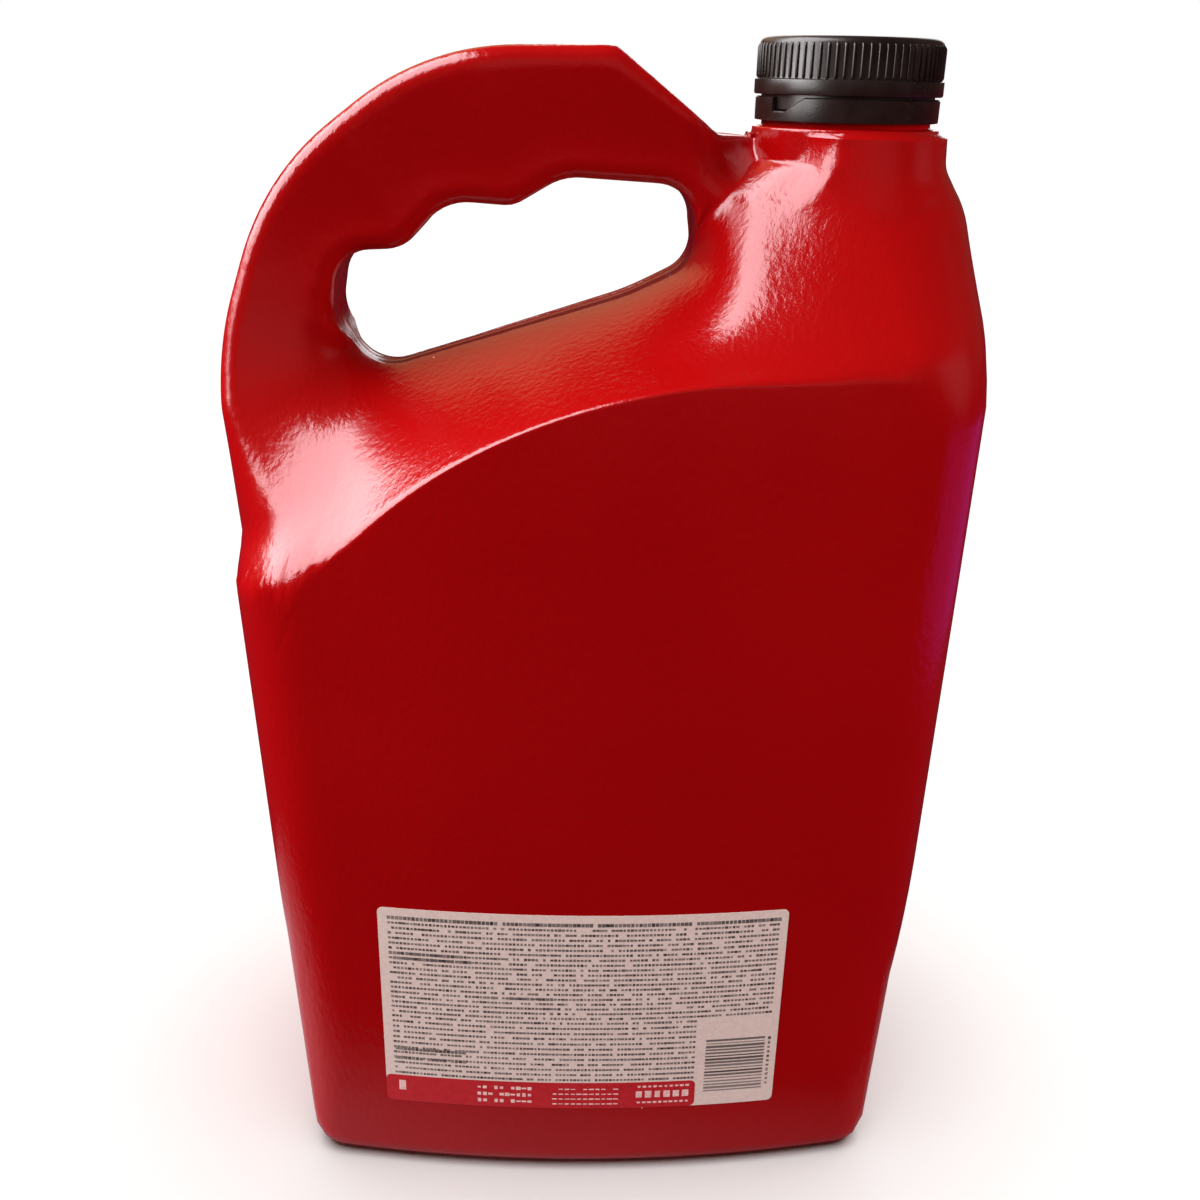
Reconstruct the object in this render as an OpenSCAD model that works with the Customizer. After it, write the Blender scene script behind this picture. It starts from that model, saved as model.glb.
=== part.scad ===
// A one gallon coolant jug: a hollow blown bottle with a through handle on one
// side and an offset neck on the other, a ribbed screw cap with its sealing wad,
// a tamper band left on the neck, and a label on each broad face.
// Lengths are millimetres. The origin is the middle of the base, on the floor.
// The broad faces look along -Y and +Y, and the handle is on the -X side.

/* [Body] */
// Width across the base
base_w = 160; // [140:1:176]
// Width across the shoulders, where the flat panel ends
body_w = 183; // [178:1:196]
// Depth from front panel to back panel
body_d = 116; // [96:1:136]
// Height of the crease along the top of the flat panel
crease_z = 228; // [223:1:234]
// How far the middle of a panel stands out past its sides
panel_bow = 10; // [3:0.5:14]
// Softness of the crease between panel and shoulder
crease_soft = 1.6; // [0.8:0.1:3]
// Radius of the upright edges between the broad faces and the sides
side_r = 17; // [12:0.5:24]
// Radius between the base and the broad faces
base_edge_r = 7; // [4:0.5:12]
// Radius of the bottom corners in the front view
base_corner_r = 9; // [5:0.5:14]
// Wall thickness of the blown bottle
wall = 1; // [0.8:0.05:1.5]

/* [Handle] */
// Height of the top of the handle
handle_top = 297; // [292:0.5:302]
// Thickness of the handle from front to back
handle_t = 30; // [24:0.5:36]
// Radius of the handle's long edges
handle_edge_r = 5; // [4:0.25:7]
// Reach of the handle past the middle of the base, at its widest
handle_reach = 97; // [94:0.5:102]
// Middle of the hand opening, along X
hole_x = -23; // [-25:0.5:-21]
// Middle of the hand opening, along Z
hole_z = 243.8; // [241:0.2:246]
// Width of the hand opening
hole_w = 88.8; // [84:0.2:92]
// Height of the hand opening, over its slant
hole_h = 48.4; // [44:0.2:52]
// Drop from the first finger rest to the second
finger_drop = 7; // [5:0.25:8]

/* [Neck] */
// Distance of the neck's axis from the middle of the base
neck_x = 58.15; // [55:0.25:62]
// Outside diameter of the blown neck
neck_d = 45.2; // [44:0.1:46.4]
// Height where the blown neck turns into the threaded finish
neck_z = 280.7; // [277:0.1:285]
// Diameter of the mouth
bore_d = 31.8; // [29:0.1:32.4]
// Diameter of the finish between its threads
finish_d = 35.4; // [34.8:0.1:35.8]
// Height of the threaded finish above the neck
finish_h = 17.1; // [16.6:0.1:18.5]
// Depth of the threads
thread_depth = 1.2; // [1:0.05:1.3]

/* [Closure] */
// Diameter of the plain ring at the foot of the cap
cap_d = 45.2; // [44.6:0.1:46.6]
// Number of grip ribs round the cap
rib_count = 72; // [48:1:96]
// Height of one grip rib off the cap
rib_depth = 0.5; // [0.3:0.05:0.7]
// Height of the plain ring at the foot of the cap
ring_h = 3.5; // [2.5:0.1:4.5]
// Radius of the cap's top edge
cap_edge_r = 1.8; // [1:0.1:2.4]
// Thickness of the cap's top
cap_top_t = 1.2; // [1:0.1:1.8]
// Thickness of the sealing wad in the cap
liner_t = 0.9; // [0.6:0.05:1.4]
// Height of the tamper band
band_h = 5.3; // [4.6:0.1:5.8]
// Gap between the tamper band and the cap
band_gap = 0.5; // [0.3:0.05:0.8]
// Depth of the window in the band's top edge
window_h = 3.1; // [2:0.1:3.6]

/* [Labels] */
// Width of the small print label on the front panel
info_w = 108.5; // [90:0.5:114]
// Height of the small print label
info_h = 65.4; // [50:0.2:80]
// Height of the small print label's lower edge
info_z = 23.5; // [18:0.5:30]
// Middle of the small print label, along X
info_x = -3.5; // [-8:0.5:4]
// Width of the label on the back panel
main_w = 118; // [100:1:122]
// Height of the label on the back panel
main_h = 118; // [100:1:130]
// Height of the back label's lower edge
main_z = 45; // [35:1:55]
// Corner radius of the labels
label_r = 1.6; // [1:0.1:4]
// Thickness of a label
label_t = 0.15; // [0.1:0.01:0.3]

/* [Hidden] */
eps = 0.01;

// Clearances between pieces that move or are fitted
seal_gap = 0.1;
thread_gap = 0.4;
skirt_gap = 0.4;
bead_gap = 0.35;
liner_gap = 0.15;
label_gap = 0.08;

// Half sizes and curvature of the panel
half_d = body_d / 2;
half_w = body_w / 2;
neck_r = neck_d / 2;
bow_k = panel_bow / pow(half_w, 2);
neck_top = neck_z + 0.8;
rim_z = neck_z - 2.2;
flare_z = neck_z - 8;
// Half width of the flat left along the parting line where the edges are full round
parting = 0.6;
// Length over which the web between handle and neck thins towards the neck
web_reach = 17;

// Outlines in the plane of the parting line. A point is [x, z, corner radius, edge radius]:
// the corner radius rounds the outline there, the edge radius rounds the body over it.
outer_outline = [
    [base_w / 2, 0, base_corner_r, base_edge_r],
    [half_w - 2.6, 75, 400, side_r],
    [half_w, crease_z - 6, 10, side_r],
    [half_w - 1, crease_z + 10, 30, side_r + 7],
    [neck_x + neck_r + 5.5, flare_z - 9.5, 26, side_r + 7],
    [neck_x + neck_r, flare_z - 1, 6, neck_r],
    [neck_x + neck_r, rim_z, 0, neck_r],
    [neck_x - neck_r, rim_z, 0, 1.2],
    [neck_x - neck_r, flare_z + 4.9, 1.5, 1.2],
    [neck_x - neck_r - 9.6, flare_z + 5.5, 4, 2],
    [neck_x - neck_r - 34.3, handle_top + 0.2, 3.8, handle_edge_r],
    [-handle_reach + 54.6, handle_top - 0.8, 70, handle_edge_r],
    [-handle_reach + 14.9, handle_top - 30.4, 95, handle_edge_r],
    [-handle_reach + 1.2, handle_top - 70.4, 70, handle_edge_r],
    [-handle_reach + 4.2, crease_z - 47.4, 200, side_r + 3],
    [-half_w + 4.2, 75, 300, side_r],
    [-base_w / 2, 0, base_corner_r, base_edge_r]
];
hole_a = hole_w / 2;
hole_b = hole_h / 2;
full_r = handle_t / 2;
hole_outline = [
    [hole_x + hole_a, hole_z + hole_b - 1.6, 10, handle_edge_r],
    [hole_x + hole_a - 32, hole_z + hole_b, 14, handle_edge_r],
    [hole_x + hole_a - 44, hole_z + hole_b - finger_drop, 8, handle_edge_r],
    [hole_x + hole_a - 60.5, hole_z + hole_b - finger_drop + 1, 13, handle_edge_r],
    [hole_x - hole_a + 18, hole_z + hole_b - 17.4, 10, handle_edge_r],
    [hole_x - hole_a + 1.8, hole_z + hole_b - 18.2, 11, handle_edge_r],
    [hole_x - hole_a - 0.3, hole_z - 10.3, 12, handle_edge_r + 1.5],
    [hole_x - hole_a + 8.8, hole_z - hole_b - 0.3, 11, full_r],
    [hole_x + hole_a - 16, hole_z - 4.2, 60, full_r],
    [hole_x + hole_a, hole_z + 3.7, 9, full_r - 2]
];

// The crease: a quarter ellipse from the left edge up to crease_left, then level
crease_left = 37;
crease_a = half_w + 33.2;
crease_b = 107.8;
crease_top = crease_z + 1.3;
crease_mid = crease_top - crease_b;

// A loop between the hole and the outside: round the neck and the handle, then along the crease
crease_end = half_w - 9;
middle_outline = concat(
    [
        [crease_end, crease_top, 0, 0],
        [neck_x + neck_r - 0.5, flare_z - 22, 0, 0],
        [neck_x + 14, flare_z - 9, 0, 0],
        [neck_x - 14, flare_z - 9, 0, 0],
        [neck_x - 30, flare_z - 4, 0, 0],
        [hole_x + hole_a - 17, handle_top - 15, 0, 0],
        [hole_x - 19, handle_top - 21, 0, 0],
        [hole_x - hole_a - 7, handle_top - 42, 0, 0],
        [hole_x - hole_a - 15, handle_top - 69, 0, 0],
        [hole_x - hole_a - 15, crease_z - 32, 0, 0]
    ],
    [for (a = [12 : 9.75 : 90]) [crease_left - crease_a * cos(a), crease_mid + crease_b * sin(a), 0, 0]]
);

// Rays run over the surface from the hole to the outside, through the middle loop. Each span
// of rays is [outer corner, middle corner and hole corner that it starts at, number of rays].
spans = [
    [0, 17.3, 8.3, 10], [2.2, 19, 9, 4], [4, 20.5, 9.15, 3], [5.5, 21, 9.3, 1], [6, 21.1, 9.35, 18],
    [7, 22.2, 9.6, 2], [9, 23, 9.9, 3], [10, 24, 10.6, 6], [11.5, 25.3, 13.2, 6], [12.6, 26.5, 15.5, 5],
    [13.6, 27.6, 16.4, 3], [14.3, 28.5, 17, 10], [16, 31, 17.35, 13], [17, 36.3, 18.3, 0]
];
neck_span = 4;
corner_n = 5;

function clamp(v, low, high) = min(max(v, low), high);
function mix(a, b, f) = a + (b - a) * f;
function smooth(v) = let (c = clamp(v, 0, 1)) c * c * (3 - 2 * c);
function soft_max(a, b, k) =
    let (h = clamp(0.5 + 0.5 * (a - b) / k, 0, 1)) b + (a - b) * h + k * h * (1 - h);
function soft_min(a, b, k) = -soft_max(-a, -b, k);
function unit(v) = v / norm(v);
function flat(p) = [p[0], p[1]];
function sum_to(list, n, i = 0) = i >= n ? 0 : list[i] + sum_to(list, n, i + 1);

// One corner of an outline as an arc of corner_n steps, kept within its two sides
function corner_arc(a, b, c) =
    let (
        u = unit(flat(b) - flat(a)),
        v = unit(flat(c) - flat(b)),
        turn = atan2(u[0] * v[1] - u[1] * v[0], u * v),
        room = 0.48 * min(norm(flat(b) - flat(a)), norm(flat(c) - flat(b))),
        t = min(b[2] * tan(abs(turn) / 2), room),
        r = t / tan(abs(turn) / 2),
        start = flat(b) - u * t,
        middle = start + sign(turn) * r * [-u[1], u[0]],
        arm = start - middle
    )
    [for (i = [0 : corner_n])
        let (w = turn * i / corner_n)
        [middle[0] + arm[0] * cos(w) - arm[1] * sin(w),
         middle[1] + arm[0] * sin(w) + arm[1] * cos(w), b[3]]];
function loop_of(outline) =
    let (n = len(outline))
    [for (i = [0 : n - 1])
        each outline[i][2] == 0
            ? [[outline[i][0], outline[i][1], outline[i][3]]]
            : corner_arc(outline[(i + n - 1) % n], outline[i], outline[(i + 1) % n])];
function loop_step(loop, i) = norm(flat(loop[(i + 1) % len(loop)]) - flat(loop[i % len(loop)]));
function loop_lengths(loop) =
    [for (i = 0, s = 0; i <= len(loop); s = s + loop_step(loop, i), i = i + 1) s];

// Length along a loop to the middle of an outline's corner, and to a place between corners
function corner_length(outline, lengths, k) =
    let (
        n = len(outline),
        counts = [for (p = outline) p[2] == 0 ? 1 : corner_n + 1],
        turns = floor(k / n),
        c = k - turns * n
    )
    turns * lengths[len(lengths) - 1] + lengths[sum_to(counts, c) + floor(counts[c] / 2)];
function place_length(outline, lengths, place) =
    let (k = floor(place))
    mix(corner_length(outline, lengths, k), corner_length(outline, lengths, k + 1), place - k);
function place_on(loop, lengths, s) =
    let (
        total = lengths[len(lengths) - 1],
        t = s - total * floor(s / total),
        n = len(loop)
    )
    [for (axis = [0 : 2]) lookup(t, [for (i = [0 : n]) [lengths[i], loop[i % n][axis]]])];

// How far the rounded edges take the surface back at point p, over one outline
function rounding(p, loop) =
    max([for (i = [0 : len(loop) - 1])
        let (
            a = loop[i],
            b = loop[(i + 1) % len(loop)],
            ab = flat(b) - flat(a),
            t = clamp((p - flat(a)) * ab / (ab * ab), 0, 1),
            r = mix(a[2], b[2], t),
            q = max(r - norm(p - flat(a) - t * ab), 0)
        )
        a[1] == rim_z && b[1] == a[1] ? 0 : r - sqrt(max(r * r - q * q, 0))]);
function distance_to(p, loop) =
    min([for (i = [0 : len(loop) - 1])
        let (
            a = flat(loop[i]),
            ab = flat(loop[(i + 1) % len(loop)]) - a
        )
        norm(p - a - clamp((p - a) * ab / (ab * ab), 0, 1) * ab)]);

// Height of a point over the crease, below it negative
function over_crease(p) =
    let (
        dx = min(p[0] - crease_left, 0) / crease_a,
        dz = (p[1] - crease_mid) / crease_b,
        q = norm([dx, dz]),
        slope = norm([dx / crease_a, dz / crease_b]) / max(q, eps)
    )
    dz < 0 ? (abs(dx) - 1) * crease_a : (q - 1) / slope;
function panel_depth(x) = half_d - bow_k * x * x;

// Half depth of the jug at a point [x, z] of the parting plane
function depth_at(p, outer, hole) =
    let (
        panel = panel_depth(p[0]),
        fade = smooth((p[1] - 118) / 45),
        e = distance_to(p, hole),
        roof = panel * pow(e / max(e + over_crease(p) * fade, 4), 0.85),
        fall = max(flare_z - p[1], 0),
        flare = neck_r + 0.5 * smooth(fall / 1.2) + 0.4 * pow(fall, 1.13),
        side = min(p[0] - neck_x, 0) / (neck_r + 1.5 * fall),
        onset = 1 - min(e / 14, 1),
        cone = flare * sqrt(max(1 - side * side, 0)) * sqrt(1 - onset * onset),
        grip = full_r - rounding(p, hole),
        thin = mix(0.18, 1, smooth(norm(p - [neck_x - neck_r, rim_z - 1]) / web_reach)),
        shoulder = soft_max(soft_max(grip, roof, 8) * thin, cone, mix(2.5, 8, smooth(fall / 28)))
    )
    max(soft_min(panel, shoulder, 0.05 + crease_soft * fade) - rounding(p, outer), parting);

// The points of one ray from h over m to o: rounded edge at the hole, shoulder, both sides of
// the crease, panel, rounded edge outside
function ray_points(h, m, o) =
    let (
        edge = [0, 0.134, 0.5, 1],
        in_l = norm(flat(m) - flat(h)),
        out_l = norm(flat(o) - flat(m)),
        a = min(h[2] / in_l, 0.8),
        b = min(o[2] / out_l, 0.9),
        c = 1 - min(1.3 / in_l, 0.1),
        d = min(1.3 / out_l, 0.05),
        near = concat([for (k = edge) a * k], [mix(a, c, 0.5), c]),
        far = concat([d, mix(d, 1 - b, 1 / 3), mix(d, 1 - b, 2 / 3)], [for (k = [3 : -1 : 0]) 1 - b * edge[k]])
    )
    concat(
        [for (t = near) mix(flat(h), flat(m), t)],
        [for (t = far) mix(flat(m), flat(o), t)]
    );

function front_grid() =
    let (
        outlines = [outer_outline, middle_outline, hole_outline],
        loops = [for (outline = outlines) loop_of(outline)],
        lengths = [for (loop = loops) loop_lengths(loop)]
    )
    [for (j = [0 : len(spans) - 2])
        let (
            start = [for (k = [0 : 2]) place_length(outlines[k], lengths[k], spans[j][k])],
            stop = [for (k = [0 : 2]) place_length(outlines[k], lengths[k], spans[j + 1][k])],
            n = spans[j][3]
        )
        for (i = [0 : n - 1])
            let (
                f = i / n,
                round_f = j == neck_span ? (1 - cos(180 * f)) / 2 : f,
                at = [for (k = [0 : 2]) place_on(loops[k], lengths[k], mix(start[k], stop[k], k == 2 ? f : round_f))]
            )
            [for (p = ray_points(at[2], at[1], at[0])) [p[0], -depth_at(p, loops[0], loops[2]), p[1]]]];

// The inner face of the wall, square in from each point of the outer face
function inner_point(grid, s, t, first_rim, last_rim) =
    let (
        n = len(grid),
        m = len(grid[0]),
        p = grid[s][t],
        on_rim = s >= first_rim && s <= last_rim && t == m - 1,
        ahead = t < m - 1 ? grid[s][t + 1] : [p[0], -p[1], p[2]],
        behind = t > 0 ? grid[s][t - 1] : [p[0], -p[1], p[2]],
        along = grid[(s + 1) % n][t] - grid[(s + n - 1) % n][t]
    )
    p - wall * (on_rim ? unit([p[0] - neck_x, p[1], 0]) : unit(cross(ahead - behind, along)));

// The whole bottle as one closed skin: outer face, inner face, and the finish that joins them
module bottle() {
    outside = front_grid();
    n = len(outside);
    m = len(outside[0]);
    first_rim = sum_to([for (q = spans) q[3]], neck_span);
    last_rim = first_rim + spans[neck_span][3];
    inside = [for (s = [0 : n - 1]) [for (t = [0 : m - 1]) inner_point(outside, s, t, first_rim, last_rim)]];
    walls = [for (g = [outside, inside]) for (k = [1, -1]) for (row = g) for (p = row) [p[0], k * p[1], p[2]]];
    // Number of a wall point: layer 0 outside or 1 inside, face 0 front or 1 back, ray s, row t
    function id(layer, face, s, t) = ((layer * 2 + face) * n + s % n) * m + t;
    function quad(a, b, c, d, turned) = turned ? [[c, b, a], [d, c, a]] : [[a, b, c], [a, c, d]];
    sheets = [for (layer = [0, 1]) for (face = [0, 1]) for (s = [0 : n - 1]) for (t = [0 : m - 2])
        each quad(id(layer, face, s, t), id(layer, face, s + 1, t),
            id(layer, face, s + 1, t + 1), id(layer, face, s, t + 1), layer != face)];
    hole_wall = [for (layer = [0, 1]) for (s = [0 : n - 1])
        each quad(id(layer, 1, s, 0), id(layer, 1, s + 1, 0), id(layer, 0, s + 1, 0), id(layer, 0, s, 0), layer == 1)];
    side_wall = [for (layer = [0, 1]) for (s = [0 : n - 1]) if (s < first_rim || s >= last_rim)
        each quad(id(layer, 0, s, m - 1), id(layer, 0, s + 1, m - 1),
            id(layer, 1, s + 1, m - 1), id(layer, 1, s, m - 1), layer == 1)];

    // The finish is turned about the neck's axis, from the outer wall up and down into the inner wall
    turn = concat([for (s = [first_rim : last_rim]) [0, s]], [for (s = [last_rim : -1 : first_rim]) [1, s]]);
    r = len(turn);
    k = len(finish_profile);
    ring = [for (q = finish_profile) for (w = turn)
        let (p = outside[w[1]][m - 1], d = unit([p[0] - neck_x, (w[0] == 0 ? 1 : -1) * p[1]]))
        [neck_x + q[0] * d[0], q[0] * d[1], q[1]]];
    function ring_id(row, i) =
        row == 0 ? id(0, turn[i % r][0], turn[i % r][1], m - 1)
        : row == k + 1 ? id(1, turn[i % r][0], turn[i % r][1], m - 1)
        : len(walls) + (row - 1) * r + i % r;
    finish = [for (row = [0 : k]) for (i = [0 : r - 1])
        each quad(ring_id(row, i), ring_id(row, i + 1), ring_id(row + 1, i + 1), ring_id(row + 1, i), false)];
    polyhedron(points = concat(walls, ring), faces = concat(sheets, hole_wall, side_wall, finish), convexity = 8);
}

// Heights of the closure, from the neck up
band_z = neck_z + 0.8;
skirt_z = band_z + band_h - window_h + 0.2;
cap_z = band_z + band_h + band_gap;
finish_z = neck_z + finish_h;
liner_z = finish_z + seal_gap;
cap_top_z = liner_z + liner_t + cap_top_t;
// Radii of the closure, from the mouth out
bore_r = bore_d / 2;
finish_r = finish_d / 2;
crest_r = finish_r + thread_depth;
bead_r = crest_r + 0.65;
neck_foot_r = crest_r - 0.3;
cap_in_r = crest_r + thread_gap;
skirt_in_r = bead_r + bead_gap;
cap_r = cap_d / 2;
skirt_t = 0.9;
skirt_r = skirt_in_r + skirt_t;
band_in_r = skirt_r + skirt_gap;
band_r = cap_r - 0.5;
rib_root_r = cap_r - 0.25 - rib_depth;

// Section of the finish from the neck up, over the mouth and down the bore, as [radius, z]
finish_profile = [
    [neck_r, neck_z - 0.4], [neck_r - 0.4, neck_top], [neck_foot_r, neck_top], [neck_foot_r, band_z + 2.3],
    [bead_r, band_z + 2.9], [bead_r, band_z + 3.6], [finish_r, band_z + 5], [finish_r, finish_z - 0.6],
    [finish_r - 0.6, finish_z], [bore_r, finish_z], [bore_r, neck_z + 0.6]
];

module jug_body() {
    color("firebrick")
        bottle();
}

// Outline of the ribbed part of the cap, seen from above
module rib_section() {
    rib = 360 / rib_count;
    polygon([for (i = [0 : rib_count - 1]) for (q = [[-0.24, 0], [-0.12, rib_depth], [0.12, rib_depth], [0.24, 0]])
        (rib_root_r + q[1]) * [cos(rib * (i + q[0])), sin(rib * (i + q[0]))]]);
}

module cap() {
    edge = [for (a = [0 : 15 : 90])
        [rib_root_r - cap_edge_r + cap_edge_r * cos(a), cap_top_z - cap_edge_r + cap_edge_r * sin(a)]];
    color([0.1, 0.09, 0.09])
        translate([neck_x, 0, 0]) {
            difference() {
                union() {
                    rotate_extrude($fn = 96)
                        polygon(concat(
                            [[0, cap_z], [cap_r - 0.4, cap_z], [cap_r, cap_z + 0.5],
                             [cap_r, cap_z + ring_h - 0.4], [rib_root_r, cap_z + ring_h]],
                            edge,
                            [[0, cap_top_z]]
                        ));
                    translate([0, 0, cap_z + ring_h - 0.2])
                        linear_extrude(height = cap_top_z - cap_edge_r - cap_z - ring_h + 0.3)
                            rib_section();
                    translate([0, 0, skirt_z])
                        cylinder(h = cap_z - skirt_z + 1, r = skirt_r, $fn = 96);
                }
                translate([0, 0, skirt_z - 1])
                    cylinder(h = cap_z - skirt_z + 2, r = skirt_in_r, $fn = 96);
                translate([0, 0, skirt_z - 1])
                    cylinder(h = cap_top_z - cap_top_t - skirt_z + 1, r = cap_in_r, $fn = 96);
            }
        }
}

module cap_liner() {
    color("whitesmoke")
        translate([neck_x, 0, liner_z])
            cylinder(h = liner_t, r = cap_in_r - liner_gap, $fn = 96);
}

module tamper_band() {
    // The window, about the neck from the front: an upright side, a level sill and a slanted side
    turned = 52;
    sill_w = 4.6;
    slant_w = 5.4;
    sill_z = band_z + band_h - window_h;
    color([0.1, 0.09, 0.09])
        translate([neck_x, 0, 0])
            difference() {
                rotate_extrude($fn = 96)
                    polygon([
                        [neck_foot_r + 0.3, band_z], [band_r - 0.2, band_z], [band_r, band_z + 0.3],
                        [band_r, band_z + band_h - 0.3], [band_r - 0.3, band_z + band_h],
                        [band_in_r, band_z + band_h], [band_in_r, sill_z - 0.2],
                        [bead_r + 0.5, band_z + 2], [neck_foot_r + 0.3, band_z + 1.4]
                    ]);
                rotate([0, 0, -turned])
                    translate([0, -skirt_r, 0])
                        rotate([90, 0, 0])
                            linear_extrude(height = 8)
                                polygon([
                                    [-sill_w, band_z + band_h + 1], [-sill_w, sill_z], [0, sill_z],
                                    [slant_w, band_z + band_h], [slant_w, band_z + band_h + 1]
                                ]);
            }
}

// A thin sheet over a bowed panel, with rounded corners
module panel_sheet(x, z, w, h, side) {
    strip = [for (i = [-8 : 8]) let (u = x + w / 2 * i / 8) [u, panel_depth(u) + label_gap]];
    over = [for (i = [8 : -1 : -8]) [strip[i + 8][0], strip[i + 8][1] + label_t]];
    intersection() {
        linear_extrude(height = z + h + 1)
            polygon([for (q = concat(strip, over)) [q[0], side * q[1]]]);
        translate([x - w / 2 + label_r, 0, z + label_r])
            rotate([90, 0, 0])
                linear_extrude(height = body_d * 2, center = true)
                    union() {
                        translate([0, -label_r])
                            square([w - 2 * label_r, h]);
                        translate([-label_r, 0])
                            square([w, h - 2 * label_r]);
                        for (cx = [0, w - 2 * label_r])
                            for (cz = [0, h - 2 * label_r])
                                translate([cx, cz])
                                    circle(r = label_r, $fn = 24);
                    }
    }
}

module info_label() {
    color("gainsboro")
        panel_sheet(info_x, info_z, info_w, info_h, -1);
}

module main_label() {
    color("gainsboro")
        panel_sheet(0, main_z, main_w, main_h, 1);
}

jug_body();
cap();
cap_liner();
tamper_band();
info_label();
main_label();
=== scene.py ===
# %% [markdown]
# Looks of a one gallon coolant jug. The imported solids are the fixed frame: they say where the
# neck, the closure and the two labels are. This lesson dresses them, piece by piece, with
# smoother meshes and with finishes made of nodes. Lengths below are millimetres, as on a
# bottle drawing, and become metres only when a mesh is made.

# %% Load the frame
import math

import bmesh
import bpy
import numpy as np
from mathutils import Matrix, Vector


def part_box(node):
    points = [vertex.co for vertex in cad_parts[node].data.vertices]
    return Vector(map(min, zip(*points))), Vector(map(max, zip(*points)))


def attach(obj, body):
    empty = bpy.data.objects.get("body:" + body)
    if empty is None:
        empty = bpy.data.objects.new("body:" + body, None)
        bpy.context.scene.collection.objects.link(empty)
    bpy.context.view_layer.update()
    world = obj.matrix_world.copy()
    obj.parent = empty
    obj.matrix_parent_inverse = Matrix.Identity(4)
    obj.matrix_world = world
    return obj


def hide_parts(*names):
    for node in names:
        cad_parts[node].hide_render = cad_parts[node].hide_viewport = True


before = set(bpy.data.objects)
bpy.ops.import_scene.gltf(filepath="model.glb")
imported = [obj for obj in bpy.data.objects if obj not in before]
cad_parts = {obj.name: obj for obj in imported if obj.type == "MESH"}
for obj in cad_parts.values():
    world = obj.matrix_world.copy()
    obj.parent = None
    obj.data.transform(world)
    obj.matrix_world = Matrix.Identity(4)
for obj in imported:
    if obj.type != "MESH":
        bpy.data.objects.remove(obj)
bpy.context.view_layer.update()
MM = 0.001


def box_mm(node):
    """Lowest and highest corner of a solid, in millimetres."""
    low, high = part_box(node)
    return np.array(low) / MM, np.array(high) / MM


jug_low, jug_high = box_mm("jug_body")
cap_low, cap_high = box_mm("cap")
band_low, band_high = box_mm("tamper_band")
info_low, info_high = box_mm("info_label")
main_low, main_high = box_mm("main_label")
neck_x = (cap_low[0] + cap_high[0]) / 2
half_d = jug_high[1]
print(f"jug {jug_high - jug_low} mm, neck axis at x = {neck_x:.2f} mm")

# %% [markdown]
# The camera stands a forearm's length from the jug and a little above its cap, so the
# verticals close up towards the floor. A lens of 37 mm on a 36 mm sensor gives that much
# perspective. Depth of field stays off, because a catalogue picture is sharp all over.

# %% Camera
camera_place = Vector((-0.010876, -0.325499, 0.290658))
camera_yaw = math.radians(2.059)
camera_pitch = math.radians(22.806)
camera_roll = math.radians(1.312)
lens = 37.46

ahead = Vector((
    math.sin(camera_yaw) * math.cos(camera_pitch),
    math.cos(camera_yaw) * math.cos(camera_pitch),
    -math.sin(camera_pitch),
))
level_right = Vector((math.cos(camera_yaw), -math.sin(camera_yaw), 0))
level_up = level_right.cross(ahead)
right = level_right * math.cos(camera_roll) + level_up * math.sin(camera_roll)
up = level_up * math.cos(camera_roll) - level_right * math.sin(camera_roll)

camera_data = bpy.data.cameras.new("camera")
camera_data.lens = lens
camera_data.clip_start = 0.01
camera = bpy.data.objects.new("camera", camera_data)
bpy.context.collection.objects.link(camera)
turn = Matrix((right, up, -ahead)).transposed().to_4x4()
camera.matrix_world = Matrix.Translation(camera_place) @ turn
bpy.context.scene.camera = camera
print(f"camera {camera_place.length:.3f} m from the origin")

# %% [markdown]
# Glossy red plastic shows its lights more than its colour. One large softbox high on the left
# draws the pale streaks on the shoulder and on the neck. A dim warm wall behind tints the
# slope under the hand opening, and a dim violet card lies low on the right. Two fills raise
# the broad face without showing in the gloss, and one light serves the far side.

# %% Lights
colour = bpy.context.scene.view_settings
colour.view_transform = "Standard"
colour.look = "None"


def softbox(name, place, aim, width, height, radiance, tint, shows=True):
    """A rectangular light of the given radiance, which may be kept out of reflections."""
    data = bpy.data.lights.new(name, "AREA")
    data.shape = "RECTANGLE"
    data.size = width
    data.size_y = height
    data.energy = radiance * math.pi * width * height
    data.color = tint
    lamp = bpy.data.objects.new(name, data)
    bpy.context.collection.objects.link(lamp)
    facing = (Vector(aim) - Vector(place)).to_track_quat("-Z", "Y")
    lamp.matrix_world = Matrix.Translation(place) @ facing.to_matrix().to_4x4()
    lamp.visible_camera = False
    lamp.visible_glossy = shows
    return lamp


object_lights = [
    softbox("window", (-0.96, -0.04, 1.07), (0, 0, 0.2), 1.45, 1.5, 9.5, (1, 0.97, 0.98)),
    softbox("warm_wall", (-0.55, 1.35, 1.15), (0, 0, 0.2), 1.2, 1.0, 0.7, (1, 0.6, 0.3)),
    softbox("card", (0.42, 0.02, 0.03), (0.08, 0, 0.12), 0.5, 0.2, 0.32, (0.7, 0.1, 1)),
    softbox("front_fill", (0.22, -1.25, 0.5), (0, 0, 0.12), 1.0, 1.0, 2.7, (1, 0.97, 0.95), False),
    softbox("side_fill", (1.1, -0.23, 0.4), (0, 0, 0.15), 0.6, 0.6, 9, (1, 0.9, 0.95), False),
    softbox("far_side", (0.35, 1.35, 0.75), (0, 0, 0.2), 0.8, 0.8, 2.5, (1, 1, 1)),
]
print("lights", [lamp.name for lamp in object_lights])

# %% [markdown]
# World, finishes and repeated shapes are all node trees. One helper makes a node of any kind:
# each of its inputs is either linked to another node's output or set to a plain value.

# %% A helper for nodes


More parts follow.
